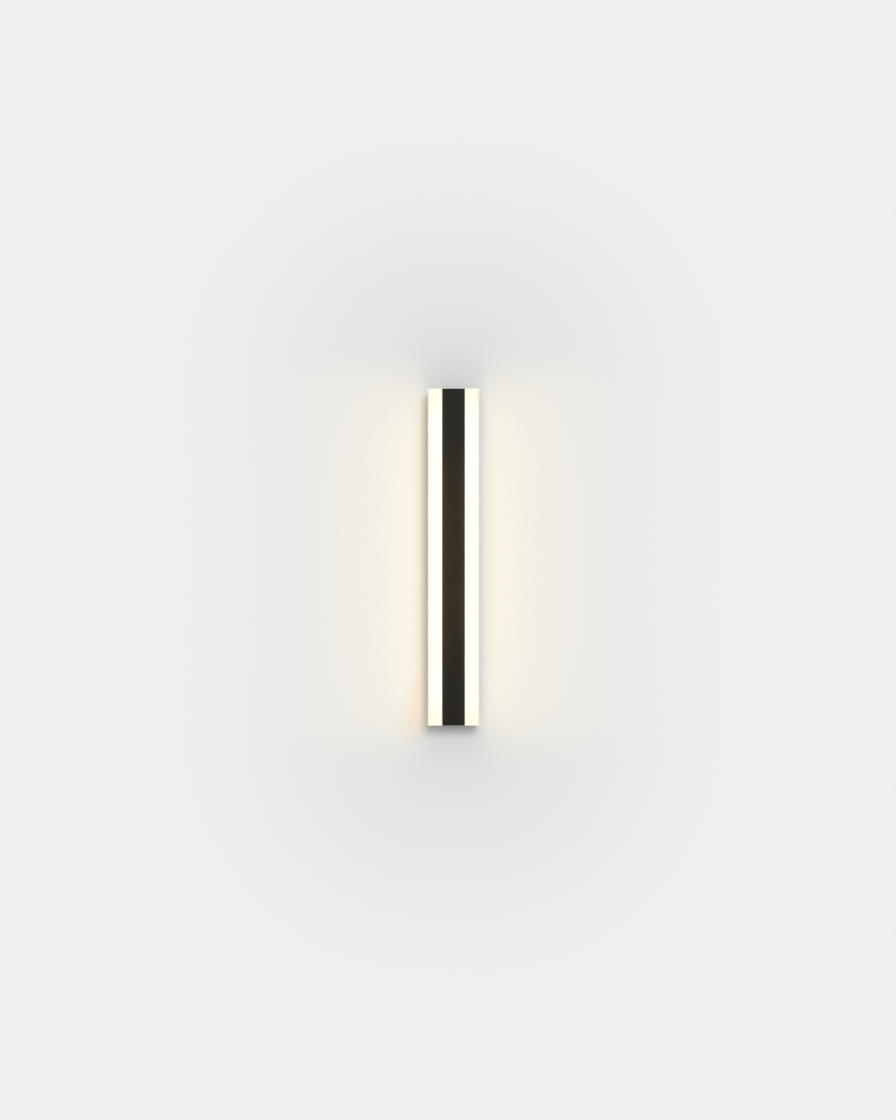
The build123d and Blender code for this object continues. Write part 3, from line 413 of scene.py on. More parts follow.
def brass():
    return metal("bright brass", (0.68, 0.5, 0.2), (0.8, 0.61, 0.29), 0.22, (1, 1, 20), 2.5)


def tinned():
    return metal("tinned copper", (0.62, 0.62, 0.6), (0.72, 0.71, 0.68), 0.25, (1, 1, 6), 2.0)


def board_white():
    """White solder mask under a clear gloss, with copper tracks showing as a faint relief."""
    finish = Finish("white solder mask")
    place = finish.place()
    weave = finish.noise(place, 0.5, detail=2.0)
    over_pitch = place.part("Y") % 3.0
    track = over_pitch.ramp(0.2, 0.5) * (1 - over_pitch.ramp(2.5, 2.8))
    return finish.surface(
        Base_Color=finish.blend(track * 0.5, (0.74, 0.74, 0.72), (0.8, 0.8, 0.79)),
        Roughness=0.3 + weave * 0.08,
        Coat_Weight=0.4,
        Coat_Roughness=0.15,
        Normal=finish.relief(track * 0.8 + weave * 0.2, 0.035, 0.8),
    )


def chip_phosphor():
    """White package with a yellow phosphor window along its middle."""
    finish = Finish("LED package")
    place = finish.place()
    low, high = box("led_chips_right")
    from_middle = place.part("Y") - (low.y + high.y) / 2
    window = 1 - abs(from_middle).ramp(0.86, 0.94)
    grain = finish.noise(place, 0.1, detail=2.0)
    return finish.surface(
        Base_Color=finish.blend(window, (0.82, 0.82, 0.8), (0.86, 0.62, 0.13)),
        Roughness=0.3 + grain * 0.12,
        Normal=finish.relief(grain, 0.01, 0.4),
    )


def tape_grey():
    return moulded("grey thermal tape", (0.2, 0.21, 0.22), (0.26, 0.27, 0.28), 0.15, 0.6)


def film_white():
    return moulded("white reflector film", (0.84, 0.84, 0.83), (0.88, 0.88, 0.87), 0.4, 0.55)


def insulation(name, color, dark):
    """Smooth PVC with a soft gloss and the odd scuff."""
    finish = Finish(name)
    place = finish.place()
    scuff = finish.noise(place, 1.2, (1, 1, 3), 4.0)
    return finish.surface(
        Base_Color=finish.blend(scuff.ramp(0.45, 0.8), color, dark),
        Roughness=0.3 + scuff * 0.2,
        Normal=finish.relief(scuff, 0.02, 0.4),
    )


def lead_white():
    return insulation("white sheath", (0.76, 0.76, 0.74), (0.66, 0.66, 0.64))


def core_brown():
    return insulation("brown core", (0.13, 0.05, 0.02), (0.09, 0.035, 0.015))


def core_blue():
    return insulation("blue core", (0.02, 0.1, 0.42), (0.015, 0.07, 0.3))


def core_green_yellow():
    """Green with yellow stripes along the core."""
    finish = Finish("green and yellow core")
    place = finish.place()
    low, high = box("lead_earth")
    from_middle = place.part("X") - (low.x + high.x) / 2
    stripe = abs(from_middle).ramp(0.42, 0.5)
    scuff = finish.noise(place, 1.2, (1, 1, 3), 4.0)
    return finish.surface(
        Base_Color=finish.blend(stripe, (0.75, 0.62, 0.03), (0.03, 0.3, 0.06)),
        Roughness=0.3 + scuff * 0.2,
        Normal=finish.relief(scuff, 0.02, 0.4),
    )


FINISHES = {
    "opal": opal,
    "bar_black": bar_black,
    "tray_black": powder_black,
    "cap_black": cap_black,
    "gasket_black": gasket_black,
    "bush_black": bush_black,
    "screw_black": screw_black,
    "zinc": zinc,
    "board_white": board_white,
    "chip": chip_phosphor,
    "tape_grey": tape_grey,
    "film_white": film_white,
    "plug_natural": nylon,
    "lead_white": lead_white,
    "driver_white": driver_white,
    "cover_grey": cover_grey,
    "block_natural": nylon,
    "brass": brass,
    "core_brown": core_brown,
    "core_blue": core_blue,
    "core_green_yellow": core_green_yellow,
    "tinned": tinned,
}
SLOT_OF = {part["node"]: part["material_slot"] for part in frame["record"]["subparts"]}


@functools.cache
def material_for(slot):
    """The slot's material, made once."""
    return FINISHES[slot]()


def paint(piece, slot):
    piece.data.materials.clear()
    piece.data.materials.append(material_for(slot))


class WallLightSettings(bpy.types.PropertyGroup):
    """What a user would change."""

    light_level: bpy.props.FloatProperty(
        name="Light level", description="Brightness of the lit acrylic", default=1.0, min=0.0
    )
    front_light: bpy.props.FloatVectorProperty(
        name="Front light", description="Colour of the light on the front faces",
        subtype="COLOR", default=(0.545, 0.565, 0.52), min=0.0, max=1.0,
    )
    edge_light: bpy.props.FloatVectorProperty(
        name="Edge light", description="Colour of the light at the outer front edge",
        subtype="COLOR", default=(0.535, 0.51, 0.42), min=0.0, max=1.0,
    )
    end_light: bpy.props.FloatVectorProperty(
        name="End light", description="Colour of the light at the two ends",
        subtype="COLOR", default=(0.54, 0.515, 0.385), min=0.0, max=1.0,
    )
    side_light: bpy.props.FloatVectorProperty(
        name="Side light", description="Colour of the light on the side faces",
        subtype="COLOR", default=(0.715, 0.685, 0.595), min=0.0, max=1.0,
    )
    inner_light: bpy.props.FloatVectorProperty(
        name="Inner light", description="Colour of the light on the snap legs, lips and inner faces",
        subtype="COLOR", default=(0.3, 0.25, 0.16), min=0.0, max=1.0,
    )
    glow: bpy.props.FloatVectorProperty(
        name="Glow", description="Colour and strength of the light that the sides throw on the wall",
        subtype="COLOR", default=(0.46, 0.29, 0.01), min=0.0, soft_max=2.0,
    )
    # The bar's own black with the strips' warm light painted into it
    bar_black_and_glow: bpy.props.FloatVectorProperty(
        name="Bar", description="Colour of the anodised bar",
        subtype="COLOR", default=(0.025, 0.0175, 0.008), min=0.0, max=1.0,
    )
    # Painted glow of the lit strips on the bar's edges
    bar_edge_painted_glow: bpy.props.FloatVectorProperty(
        name="Bar edge", description="Colour of the bar beside the lit strips",
        subtype="COLOR", default=(0.052, 0.028, 0.009), min=0.0, max=1.0,
    )
    # Painted shade: the wall darker round the lamp
    wall_near_shade: bpy.props.FloatVectorProperty(
        name="Wall near", description="Wall colour around the lamp",
        subtype="COLOR", default=(0.745, 0.745, 0.74), min=0.0, max=1.0,
    )
    # Painted glow of the lamp's sides on the wall
    wall_cream: bpy.props.FloatVectorProperty(
        name="Wall cream", description="Tone of the wall in the lamp's glow on both sides",
        subtype="COLOR", default=(0.9, 0.865, 0.75), min=0.0, max=1.0,
    )
    # Painted warm glow on the wall close to the lamp's left side
    wall_left_glow: bpy.props.FloatVectorProperty(
        name="Wall warm", description="Tone of the wall close to the lamp's left side",
        subtype="COLOR", default=(0.845, 0.71, 0.58), min=0.0, max=1.0,
    )
    wall_far: bpy.props.FloatVectorProperty(
        name="Wall far", description="Wall colour away from the lamp",
        subtype="COLOR", default=(0.863, 0.863, 0.863), min=0.0, max=1.0,
    )
    shade_reach: bpy.props.FloatProperty(
        name="Shade reach", description="How far from the lamp the wall is a little darker",
        subtype="DISTANCE", unit="LENGTH", default=0.33, min=0.01,
    )
    sky: bpy.props.FloatProperty(
        name="Fill", description="Even light from all round", default=0.69, min=0.0
    )
    sun: bpy.props.FloatProperty(
        name="Key", description="Soft light from the upper right", default=1.46, min=0.0
    )
    lens: bpy.props.FloatProperty(
        name="Lens", description="Focal length of the camera", subtype="DISTANCE_CAMERA", default=85.0
    )


# Modelling by hand. Lengths are in millimetres.

NEAR = 0.05       # places closer than this are the same place
OVERCUT = 1.0     # how far a cutting block runs past the face that it opens
OVERLAP = 0.05    # how far joined pieces reach into each other


def near(a, b):
    return abs(a - b) < NEAR


def level(way):
    return abs(way.z) < 0.1


def upright(way):
    return abs(way.z) > 0.9


def named(name):
    """Names the new primitive, and puts its place and size in its mesh."""
    piece = bpy.context.object
    piece.name = name
    bpy.ops.object.transform_apply(location=True, rotation=True, scale=True)
    return piece


def add_block(name, low, high):
    bpy.ops.object.select_all(action="DESELECT")
    middle = [(a + b) / 2 * MM for a, b in zip(low, high)]
    size = [b - a for a, b in zip(low, high)]
    bpy.ops.mesh.primitive_cube_add(size=MM, location=middle, scale=size)
    return named(name)


def add_rod(name, radius, low, high, sides=32):
    """Upright rod from z = low to high."""
    bpy.ops.object.select_all(action="DESELECT")
    bpy.ops.mesh.primitive_cylinder_add(
        vertices=sides, radius=radius * MM, depth=(high - low) * MM, location=(0, 0, (low + high) / 2 * MM)
    )
    return named(name)


def choose(*pieces):
    """Selects these objects only, the first one active."""
    bpy.ops.object.select_all(action="DESELECT")
    for piece in pieces:
        piece.select_set(True)
    bpy.context.view_layer.objects.active = pieces[0]


@contextlib.contextmanager
def editing(piece):
    choose(piece)
    bpy.ops.object.mode_set(mode="EDIT")
    yield
    bpy.ops.object.mode_set(mode="OBJECT")


def pick(kind, test):
    """Picks the points, edges or faces whose middle and direction pass the test."""
    bpy.ops.mesh.select_mode(type=kind)
    bpy.ops.mesh.select_all(action="DESELECT")
    data = bpy.context.edit_object.data
    mesh = bmesh.from_edit_mesh(data)
    for part in {"VERT": mesh.verts, "EDGE": mesh.edges, "FACE": mesh.faces}[kind]:
        corners = [part.co] if kind == "VERT" else [corner.co for corner in part.verts]
        middle = sum(corners, Vector()) / len(corners) / MM
        direction = (corners[-1] - corners[0]).normalized() if kind == "EDGE" else part.normal
        if test(middle, direction):
            part.select_set(True)
    mesh.select_flush_mode()
    bmesh.update_edit_mesh(data)


def extrude(x=0.0, y=0.0, z=0.0):
    bpy.ops.mesh.extrude_region_move(TRANSFORM_OT_translate={"value": (x * MM, y * MM, z * MM)})


def move(x=0.0, y=0.0, z=0.0):
    bpy.ops.transform.translate(value=(x * MM, y * MM, z * MM))


def stretch(x, y, z, about=(0, 0, 0)):
    bpy.ops.transform.resize(value=(x, y, z), center_override=[place * MM for place in about])


def tidy_shell():
    """Merges doubled points and turns every face outwards."""
    bpy.ops.mesh.select_all(action="SELECT")
    bpy.ops.mesh.remove_doubles(threshold=0.002 * MM)
    bpy.ops.mesh.normals_make_consistent(inside=False)


def use(piece, kind, **settings):
    """Adds a modifier to a piece and applies it."""
    choose(piece)
    modifier = piece.modifiers.new(kind.lower(), kind)
    for name, value in settings.items():
        setattr(modifier, name, value)
    bpy.ops.object.modifier_apply(modifier=modifier.name)


def cut(piece, tool):
    use(piece, "BOOLEAN", operation="DIFFERENCE", object=tool, solver="EXACT")
    bpy.data.objects.remove(tool)


def break_edges(piece, width, segments=2, angle=40):
    """Rounds the sharp edges, then shades smoothly across what is left below the angle."""
    use(
        piece, "BEVEL", width=width * MM, segments=segments, limit_method="ANGLE",
        angle_limit=math.radians(angle), miter_outer="MITER_ARC", use_clamp_overlap=True,
    )
    shade(piece, angle)


def shade(piece, angle=40):
    choose(piece)
    bpy.ops.object.shade_smooth_by_angle(angle=math.radians(angle))
    use(piece, "WEIGHTED_NORMAL", keep_sharp=True)


def join(first, *others):
    if others:
        choose(first, *others)
        bpy.ops.object.join()
    return first


def place(piece, matrix):
    """Puts a piece where the matrix says, with the move in its mesh."""
    choose(piece)
    piece.matrix_world = matrix @ piece.matrix_world
    bpy.ops.object.transform_apply(location=True, rotation=True, scale=True)
    if matrix.determinant() < 0:
        with editing(piece):
            bpy.ops.mesh.select_all(action="SELECT")
            bpy.ops.mesh.normals_make_consistent(inside=False)
    return piece


def copied(piece, matrix):
    """Another of the same piece, with its own mesh."""
    other = piece.copy()
    other.data = piece.data.copy()
    bpy.context.collection.objects.link(other)
    return place(other, matrix)


def at(x, y, z, turn=Matrix()):
    """A matrix that turns a piece about the origin, then moves it to a place."""
    return Matrix.Translation(Vector((x, y, z)) * MM) @ turn


TO_WALL = Matrix.Rotation(math.radians(-90), 4, "X")
TO_ROOM = Matrix.Rotation(math.radians(90), 4, "X")
TO_RIGHT = Matrix.Rotation(math.radians(90), 4, "Y")
UPSIDE_DOWN = Matrix.Rotation(math.radians(180), 4, "Y")
OTHER_SIDE = Matrix.Scale(-1, 4, (1, 0, 0))


def stands_for(piece, node):
    """The piece takes over its node's name, body and finish."""
    piece.name = f"{node}.fine"
    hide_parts(node)
    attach(piece, frame["nodes"][node]["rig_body"])
    paint(piece, SLOT_OF[node])


def turned(name, outline, steps=40):
    """Piece turned about z from a closed outline of (radius, height) points, each drawn out from the last."""
    bpy.ops.object.select_all(action="DESELECT")
    bpy.ops.mesh.primitive_plane_add(size=MM)
    piece = named(name)
    with editing(piece):
        pick("VERT", lambda middle, way: middle.x > 0 or middle.y > 0)
        bpy.ops.mesh.delete(type="VERT")
        pick("VERT", lambda middle, way: True)
        move(0.5 + outline[0][0], 0.5, outline[0][1])
        for (r0, z0), (r1, z1) in zip(outline, [*outline[1:], outline[0]]):
            extrude(x=r1 - r0, z=z1 - z0)
        bpy.ops.mesh.select_all(action="SELECT")
        bpy.ops.mesh.spin(steps=steps, angle=2 * math.pi, center=(0, 0, 0), axis=(0, 0, 1))
        tidy_shell()
        bpy.ops.mesh.select_mode(type="EDGE")
        bpy.ops.mesh.select_all(action="DESELECT")
    return piece


BARE_TURNS = 1.4        # turns of a shank that its ridge leaves bare
RIDGE_FOOT = 0.86       # a ridge's width at its foot, of the pitch
RIDGE_CREST = 0.2       # and at its crest, of the foot
SHANK_POINT_R = 0.8     # radius of a shank's point, of its root's
SHANK_POINT = 0.6       # and its length, of the pitch


def thread(name, crest_r, root_r, low, high, pitch):
    """Threaded shank from z = low to high, with its ridge wound on and its point chamfered."""
    point_r, point_top = root_r * SHANK_POINT_R, low + pitch * SHANK_POINT
    core = turned(name, [(0, low), (point_r, low), (root_r, point_top), (root_r, high), (0, high)], 24)
    bpy.ops.object.select_all(action="DESELECT")
    bpy.ops.mesh.primitive_plane_add(size=MM, rotation=(math.radians(90), 0, 0))
    ridge = named("ridge")
    with editing(ridge):
        bpy.ops.mesh.select_all(action="SELECT")
        height = crest_r - root_r + OVERLAP
        stretch(height, 1, pitch * RIDGE_FOOT)
        pick("VERT", lambda middle, way: middle.x > 0)
        stretch(1, 1, RIDGE_CREST)
        bpy.ops.mesh.select_all(action="SELECT")
        move(x=crest_r - height / 2, z=low + pitch)
        bpy.ops.mesh.delete(type="ONLY_FACE")
    use(
        ridge, "SCREW", axis="Z", angle=2 * math.pi, screw_offset=pitch * MM,
        iterations=int((high - low) / pitch - BARE_TURNS),
        steps=20, render_steps=20, use_smooth_shade=True,
    )
    with editing(ridge):
        bpy.ops.mesh.select_all(action="SELECT")
        bpy.ops.mesh.fill_holes(sides=4)
        tidy_shell()
    shade(core)
    return join(core, ridge)


CROSS_TAPER = 0.35          # length of a cross's arms at their foot, of the mouth's
CROSS_TAPER_WIDTH = 0.8     # and their width


def cross_recess(head, top, reach, width, depth):
    """Cuts the tapered cross for a driver's tip."""
    for turn in (0, 90):
        blade = add_block("blade", (-reach, -width / 2, top - depth), (reach, width / 2, top + OVERCUT))
        with editing(blade):
            pick("FACE", lambda middle, way: way.z < -0.9)
            stretch(CROSS_TAPER, CROSS_TAPER_WIDTH, 1, (0, 0, top - depth))
        cut(head, place(blade, Matrix.Rotation(math.radians(turn), 4, "Z")))


PAN_ARC_STEPS = 6
PAN_FULLNESS = 0.8      # below 1, a pan head's crown is fuller than an ellipse
PAN_RIM = 0.38          # height of its rim, of the head's
PAN_FOOT_BREAK = 0.06
PAN_CROSS_REACH = 0.56    # of the head's radius
PAN_CROSS_WIDTH = 0.2
PAN_CROSS_DEPTH = 0.6     # of the head's height
THREAD_ROOT = 0.82        # a thread's root radius, of its crest's


def pan_screw(name, r, length, head_r, head, pitch):
    """Pan-head screw with its seat at z = 0 and its point down."""
    rim = head * PAN_RIM
    foot = [(0, 0), (head_r * (1 - PAN_FOOT_BREAK), 0), (head_r, head * PAN_FOOT_BREAK)]
    crown = []
    for step in range(PAN_ARC_STEPS):
        angle = math.radians(90) * step / PAN_ARC_STEPS
        out, up = math.cos(angle) ** PAN_FULLNESS, math.sin(angle) ** PAN_FULLNESS
        crown.append((head_r * out, rim + (head - rim) * up))
    top = turned(name, [*foot, *crown, (0, head)])
    cross_recess(top, head, head_r * PAN_CROSS_REACH, head_r * PAN_CROSS_WIDTH, head * PAN_CROSS_DEPTH)
    shade(top, 35)
    return join(top, thread("shank", r, r * THREAD_ROOT, -length, OVERLAP, pitch))


# The pieces

class WALLLIGHT_OT_opal_walls(bpy.types.Operator):
    """Models the two opal C-sections: a lit front, a lit side, a barbed snap leg and a ridged back lip"""

    bl_idname = "wall_light.opal_walls"
    bl_label = "Opal walls"

    wall = 2.0
    corner_r = 3.0
    leg_wall = 1.5
    leg_depth = 9.0
    barb = 1.0
    barb_length = 1.5
    barb_tip = 0.3
    lip_wall = 1.3
    lip_inner_x = 24.4
    ridge = 0.5
    ridge_width = 1.0
    cap_pocket = 4.0
    outer_edge_r = 0.5
    edge_break = 0.12

    def execute(self, context):
        wall = self.shell()
        self.add_barb_and_ridge(wall)
        self.cut_cap_pockets(wall)
        with editing(wall):
            tidy_shell()
            pick("EDGE", lambda middle, way: upright(way) and (
                near(middle.x, HALF_WIDTH) and near(middle.y, BACK)
                or near(middle.x, BAR_EDGE) and near(middle.y, FRONT)
            ))
            bpy.ops.mesh.bevel(offset=self.outer_edge_r * MM, segments=4, affect="EDGES")
        break_edges(wall, self.edge_break, angle=50)
        other = copied(wall, OTHER_SIDE)
        shade(other, 50)
        stands_for(wall, "diffuser_right")
        stands_for(other, "diffuser_left")
        return {"FINISHED"}

    def shell(self):
        """The right wall's C-section, drawn out along its outside and given its thickness inwards."""
        leg_tip = FRONT + self.leg_depth
        bpy.ops.object.select_all(action="DESELECT")
        bpy.ops.mesh.primitive_plane_add(size=MM, rotation=(0, math.radians(90), 0))
        wall = named("opal_wall")
        with editing(wall):
            bpy.ops.mesh.select_all(action="SELECT")
            stretch(1, 1, 2 * HALF_HEIGHT)
            pick("VERT", lambda middle, way: middle.y > 0)
            bpy.ops.mesh.delete(type="VERT")
            bpy.ops.mesh.select_all(action="SELECT")
            move(x=BAR_EDGE, y=0.5 + leg_tip)
            extrude(y=FRONT - leg_tip)
            extrude(x=HALF_WIDTH - BAR_EDGE)
            extrude(y=BACK - FRONT)
            extrude(x=self.lip_inner_x - HALF_WIDTH)
            bpy.ops.mesh.select_all(action="SELECT")
            bpy.ops.mesh.normals_make_consistent(inside=False)
            pick("EDGE", lambda middle, way: (
                upright(way) and near(middle.x, HALF_WIDTH) and near(middle.y, FRONT)
            ))
            bpy.ops.mesh.bevel(offset=self.corner_r * MM, segments=10, affect="EDGES")
            pick("FACE", lambda middle, way: near(middle.y, FRONT))
            mesh = bmesh.from_edit_mesh(wall.data)
            facing_room = any(face.select and face.normal.y < 0 for face in mesh.faces)
        use(
            wall, "SOLIDIFY", thickness=self.wall * MM, offset=-1 if facing_room else 1,
            use_even_offset=True, use_quality_normals=True,
        )
        return wall

    def add_barb_and_ridge(self, wall):
        """Thins the leg and the lip to their own walls, and draws out the barb and the ridge."""
        leg_tip = FRONT + self.leg_depth
        leg_face = BAR_EDGE + self.leg_wall
        lip_face = BACK - self.lip_wall
        barb_end = leg_tip - self.barb_length
        ridge_end = self.lip_inner_x + self.ridge_width

        def on_leg(middle, way):
            return way.x > 0.9 and near(middle.x, leg_face)

        def on_lip(middle, way):
            return way.y < -0.9 and near(middle.y, lip_face)

        with editing(wall):
            tidy_shell()
            leg_inside = BAR_EDGE + self.wall
            pick("VERT", lambda middle, way: near(middle.x, leg_inside) and middle.y < leg_tip + NEAR)
            move(x=self.leg_wall - self.wall)
            pick("VERT", lambda middle, way: near(middle.y, BACK - self.wall))
            move(y=self.wall - self.lip_wall)

            pick("FACE", on_leg)
            bpy.ops.mesh.bisect(plane_co=(0, barb_end * MM, 0), plane_no=(0, 1, 0))
            pick("FACE", lambda middle, way: on_leg(middle, way) and middle.y > barb_end)
            extrude(x=self.barb)
            pick("VERT", lambda middle, way: near(middle.x, leg_face + self.barb) and near(middle.y, leg_tip))
            move(x=self.barb_tip - self.barb)

            pick("FACE", on_lip)
            bpy.ops.mesh.bisect(plane_co=(ridge_end * MM, 0, 0), plane_no=(1, 0, 0))
            pick("FACE", lambda middle, way: on_lip(middle, way) and middle.x < ridge_end)
            extrude(y=-self.ridge)
            tidy_shell()

    def cut_cap_pockets(self, wall):
        """Cuts the leg and the lip back at both ends, where the end caps sit."""
        leg_x = (BAR_EDGE - OVERCUT, BAR_EDGE + self.leg_wall + self.barb + OVERCUT)
        leg_y = (FRONT + self.wall, FRONT + self.leg_depth + OVERCUT)
        lip_x = (self.lip_inner_x - OVERCUT, HALF_WIDTH - self.wall)
        lip_y = (BACK - self.lip_wall - OVERCUT, BACK + OVERCUT)
        for low_z in (HALF_HEIGHT - self.cap_pocket, -HALF_HEIGHT - OVERCUT):
            high_z = low_z + self.cap_pocket + OVERCUT
            for name, x, y in (("leg end", leg_x, leg_y), ("lip end", lip_x, lip_y)):
                cut(wall, add_block(name, (x[0], y[0], low_z), (x[1], y[1], high_z)))


class WALLLIGHT_OT_cap_screws(bpy.types.Operator):
    """Models the countersunk screws that hold the end caps"""

    bl_idname = "wall_light.cap_screws"
    bl_label = "End cap screws"

    head_r = 2.9
    head_rim = 0.12
    r = 1.5
    root_r = 1.22
    length = 14.0
    pitch = 0.5
    recess = {"reach": 1.55, "width": 0.55, "depth": 1.15}

    def execute(self, context):
        sink = self.head_r - self.r
        rim = [(self.head_r - self.head_rim, 0), (self.head_r, -self.head_rim)]
        head = turned("cap screw", [(0, 0), *rim, (self.r, -sink), (0, -sink)])
        cross_recess(head, 0, **self.recess)
        shade(head, 35)
        screw = join(head, thread("shank", self.r, self.root_r, -self.length, OVERLAP - sink, self.pitch))
        low, high = box("end_cap_screws_top")
        x, y = high.x - self.head_r, (low.y + high.y) / 2
        for end, turn, z in (("top", Matrix(), HALF_HEIGHT), ("bottom", UPSIDE_DOWN, -HALF_HEIGHT)):
            pair = [copied(screw, at(side * x, y, z, turn)) for side in (-1, 1)]
            stands_for(join(*pair), f"end_cap_screws_{end}")
        bpy.data.objects.remove(screw)
        return {"FINISHED"}


class WALLLIGHT_OT_lock_fastenings(bpy.types.Operator):
    """Models the knurled cap screws that lock the lamp on its bracket, and their split washers"""

    bl_idname = "wall_light.lock_fastenings"
    bl_label = "Lock screws and washers"

    head_r = 3.5
    head = 4.0
    crown_break = 0.4
    foot_break = 0.2
    knurls = 30
    knurl_depth = 0.14
    knurl_land = 0.03
    socket = 3.0
    socket_depth = 2.2
    mouth_depth = 0.25
    mouth_flare = 0.45
    r = 2.0
    root_r = 1.6
    length = 12.0
    pitch = 0.7
    washer_r = 4.5
    washer_bore_r = 2.2
    washer = 0.8
    washer_break = 0.15
    washer_bore_break = 0.1
    washer_split = 0.5

    def cap_screw(self):
        head = add_rod("cap screw", self.head_r, 0, self.head, 2 * self.knurls)
        with editing(head):
            pick("EDGE", lambda middle, way: near(middle.z, self.head) and level(way))
            bpy.ops.mesh.bevel(offset=self.crown_break * MM, segments=3, affect="EDGES")
            pick("EDGE", lambda middle, way: near(middle.z, 0) and level(way))
            bpy.ops.mesh.bevel(offset=self.foot_break * MM, segments=1, affect="EDGES")
            wedge = math.tau / (2 * self.knurls)
            pick("FACE", lambda middle, way: (
                level(way) and round(math.atan2(middle.y, middle.x) / wedge - 0.5) % 2 == 0
            ))
            land, depth = self.knurl_land * MM, -self.knurl_depth * MM
            bpy.ops.mesh.inset(thickness=land, depth=depth, use_individual=True)
        corner_r = self.socket / math.sqrt(3)
        cut(head, add_rod("hexagon", corner_r, self.head - self.socket_depth, self.head + OVERCUT, 6))
        mouth_r = self.socket / 2
        low, high = self.head - self.mouth_depth, self.head + self.mouth_flare - self.mouth_depth
        mouth = [(0, low), (mouth_r, low), (mouth_r + self.mouth_flare, high), (0, high)]
        cut(head, turned("mouth", mouth, 36))
        shade(head, 30)
        return join(head, thread("shank", self.r, self.root_r, -self.length, OVERLAP, self.pitch))

    def split_washer(self):
        bore_r, outer_r = self.washer_bore_r, self.washer_r
        bore_break, outer_break = self.washer_bore_break, self.washer_break
        lower = [(bore_r, bore_break), (bore_r + bore_break, 0)]
        lower += [(outer_r - outer_break, 0), (outer_r, outer_break)]
        upper = [(r, self.washer - z) for r, z in reversed(lower)]
        ring = turned("split washer", lower + upper, 48)
        half_gap = self.washer_split / 2
        gap = add_block("gap", (0, -half_gap, -OVERCUT), (outer_r + OVERCUT, half_gap, self.washer + OVERCUT))
        slant = Matrix.Rotation(math.radians(-35), 4, "Z") @ Matrix.Rotation(math.radians(30), 4, "X")
        cut(ring, place(gap, slant))
        shade(ring, 35)
        return ring

    def execute(self, context):
        screw, ring = self.cap_screw(), self.split_washer()
        low, high = box("lock_washer_top")
        y, seat = (low.y + high.y) / 2, low.z
        for end, turn, way in (("top", Matrix(), 1), ("bottom", UPSIDE_DOWN, -1)):
            stands_for(copied(ring, at(0, y, way * seat, turn)), f"lock_washer_{end}")
            stands_for(copied(screw, at(0, y, way * (seat + self.washer), turn)), f"lock_screw_{end}")
        bpy.data.objects.remove(screw)
        bpy.data.objects.remove(ring)
        return {"FINISHED"}


class WALLLIGHT_OT_fixing_screws(bpy.types.Operator):
    """Models the pan-head screws of tray, driver, terminal block and earth, and the terminals' grub screws"""

    bl_idname = "wall_light.fixing_screws"
    bl_label = "Fixing screws"

    tray_web = -14.5
    terminal_base = 4.0
    driver_base = -19.0
    m3_r = 1.5
    m3_pitch = 0.5
    m3_head_r = 2.75
    m3_head = 2.0
    tray_length = 5.0
    driver_length = 6.0
    earth_r = 2.0
    earth_pitch = 0.7
    earth_head = 2.4
    earth_length = 5.0
    grub_r = 1.3
    grub_root_r = 1.1
    grub_pitch = 0.45
    grub_slit = 0.6

    def execute(self, context):
        short = self.m3_screw("pan screw", self.tray_length)
        low, high = box("tray_screws")
        x, z = high.x - self.m3_head_r, high.z - self.m3_head_r
        spots = [(side * x, self.tray_web, up * z) for side in (-1, 1) for up in (-1, 0, 1)]
        self.spread(short, spots, TO_WALL, "tray_screws")
        low, high = box("terminal_fixing_screws")
        x, z = high.x - self.m3_head_r, (low.z + high.z) / 2
        spots = [(side * x, self.tray_web + self.terminal_base, z) for side in (-1, 1)]
        self.spread(short, spots, TO_WALL, "terminal_fixing_screws")
        bpy.data.objects.remove(short)

        driver = self.m3_screw("driver screw", self.driver_length)
        low, high = box("driver_screws")
        spots = [(0, self.driver_base, z) for z in (low.z + self.m3_head_r, high.z - self.m3_head_r)]
        self.spread(driver, spots, TO_ROOM, "driver_screws")
        bpy.data.objects.remove(driver)

        low, high = box("earth_screw")
        middle, seat = middle_of(low, high), high.y - self.earth_head
        head = ((high.x - low.x) / 2, self.earth_head)
        earth = pan_screw("earth screw", self.earth_r, self.earth_length, *head, self.earth_pitch)
        self.spread(earth, [(middle.x, seat, middle.z)], TO_WALL, "earth_screw")
        bpy.data.objects.remove(earth)

        low, high = box("terminal_screws")
        grub = thread("grub screw", self.grub_r, self.grub_root_r, low.y - high.y, 0.0, self.grub_pitch)
        reach, half_slit = self.grub_r + OVERCUT, self.grub_slit / 2
        cut(grub, add_block("slit", (-reach, -half_slit, -self.grub_slit), (reach, half_slit, OVERCUT)))
        xs = (low.x + self.grub_r, 0, high.x - self.grub_r)
        zs = (low.z + self.grub_r, high.z - self.grub_r)
        self.spread(grub, [(x, high.y, z) for x in xs for z in zs], TO_WALL, "terminal_screws")
        bpy.data.objects.remove(grub)
        return {"FINISHED"}

    def m3_screw(self, name, length):
        return pan_screw(name, self.m3_r, length, self.m3_head_r, self.m3_head, self.m3_pitch)

    def spread(self, screw, spots, turn, node):
        """One copy at each spot, each turned a little differently, as a hand leaves them."""
        copies = []
        for number, spot in enumerate(spots):
            twist = Matrix.Rotation(math.radians(23 + 67 * number), 4, "Z")
            copies.append(copied(screw, at(*spot, turn @ twist)))
        stands_for(join(*copies), node)


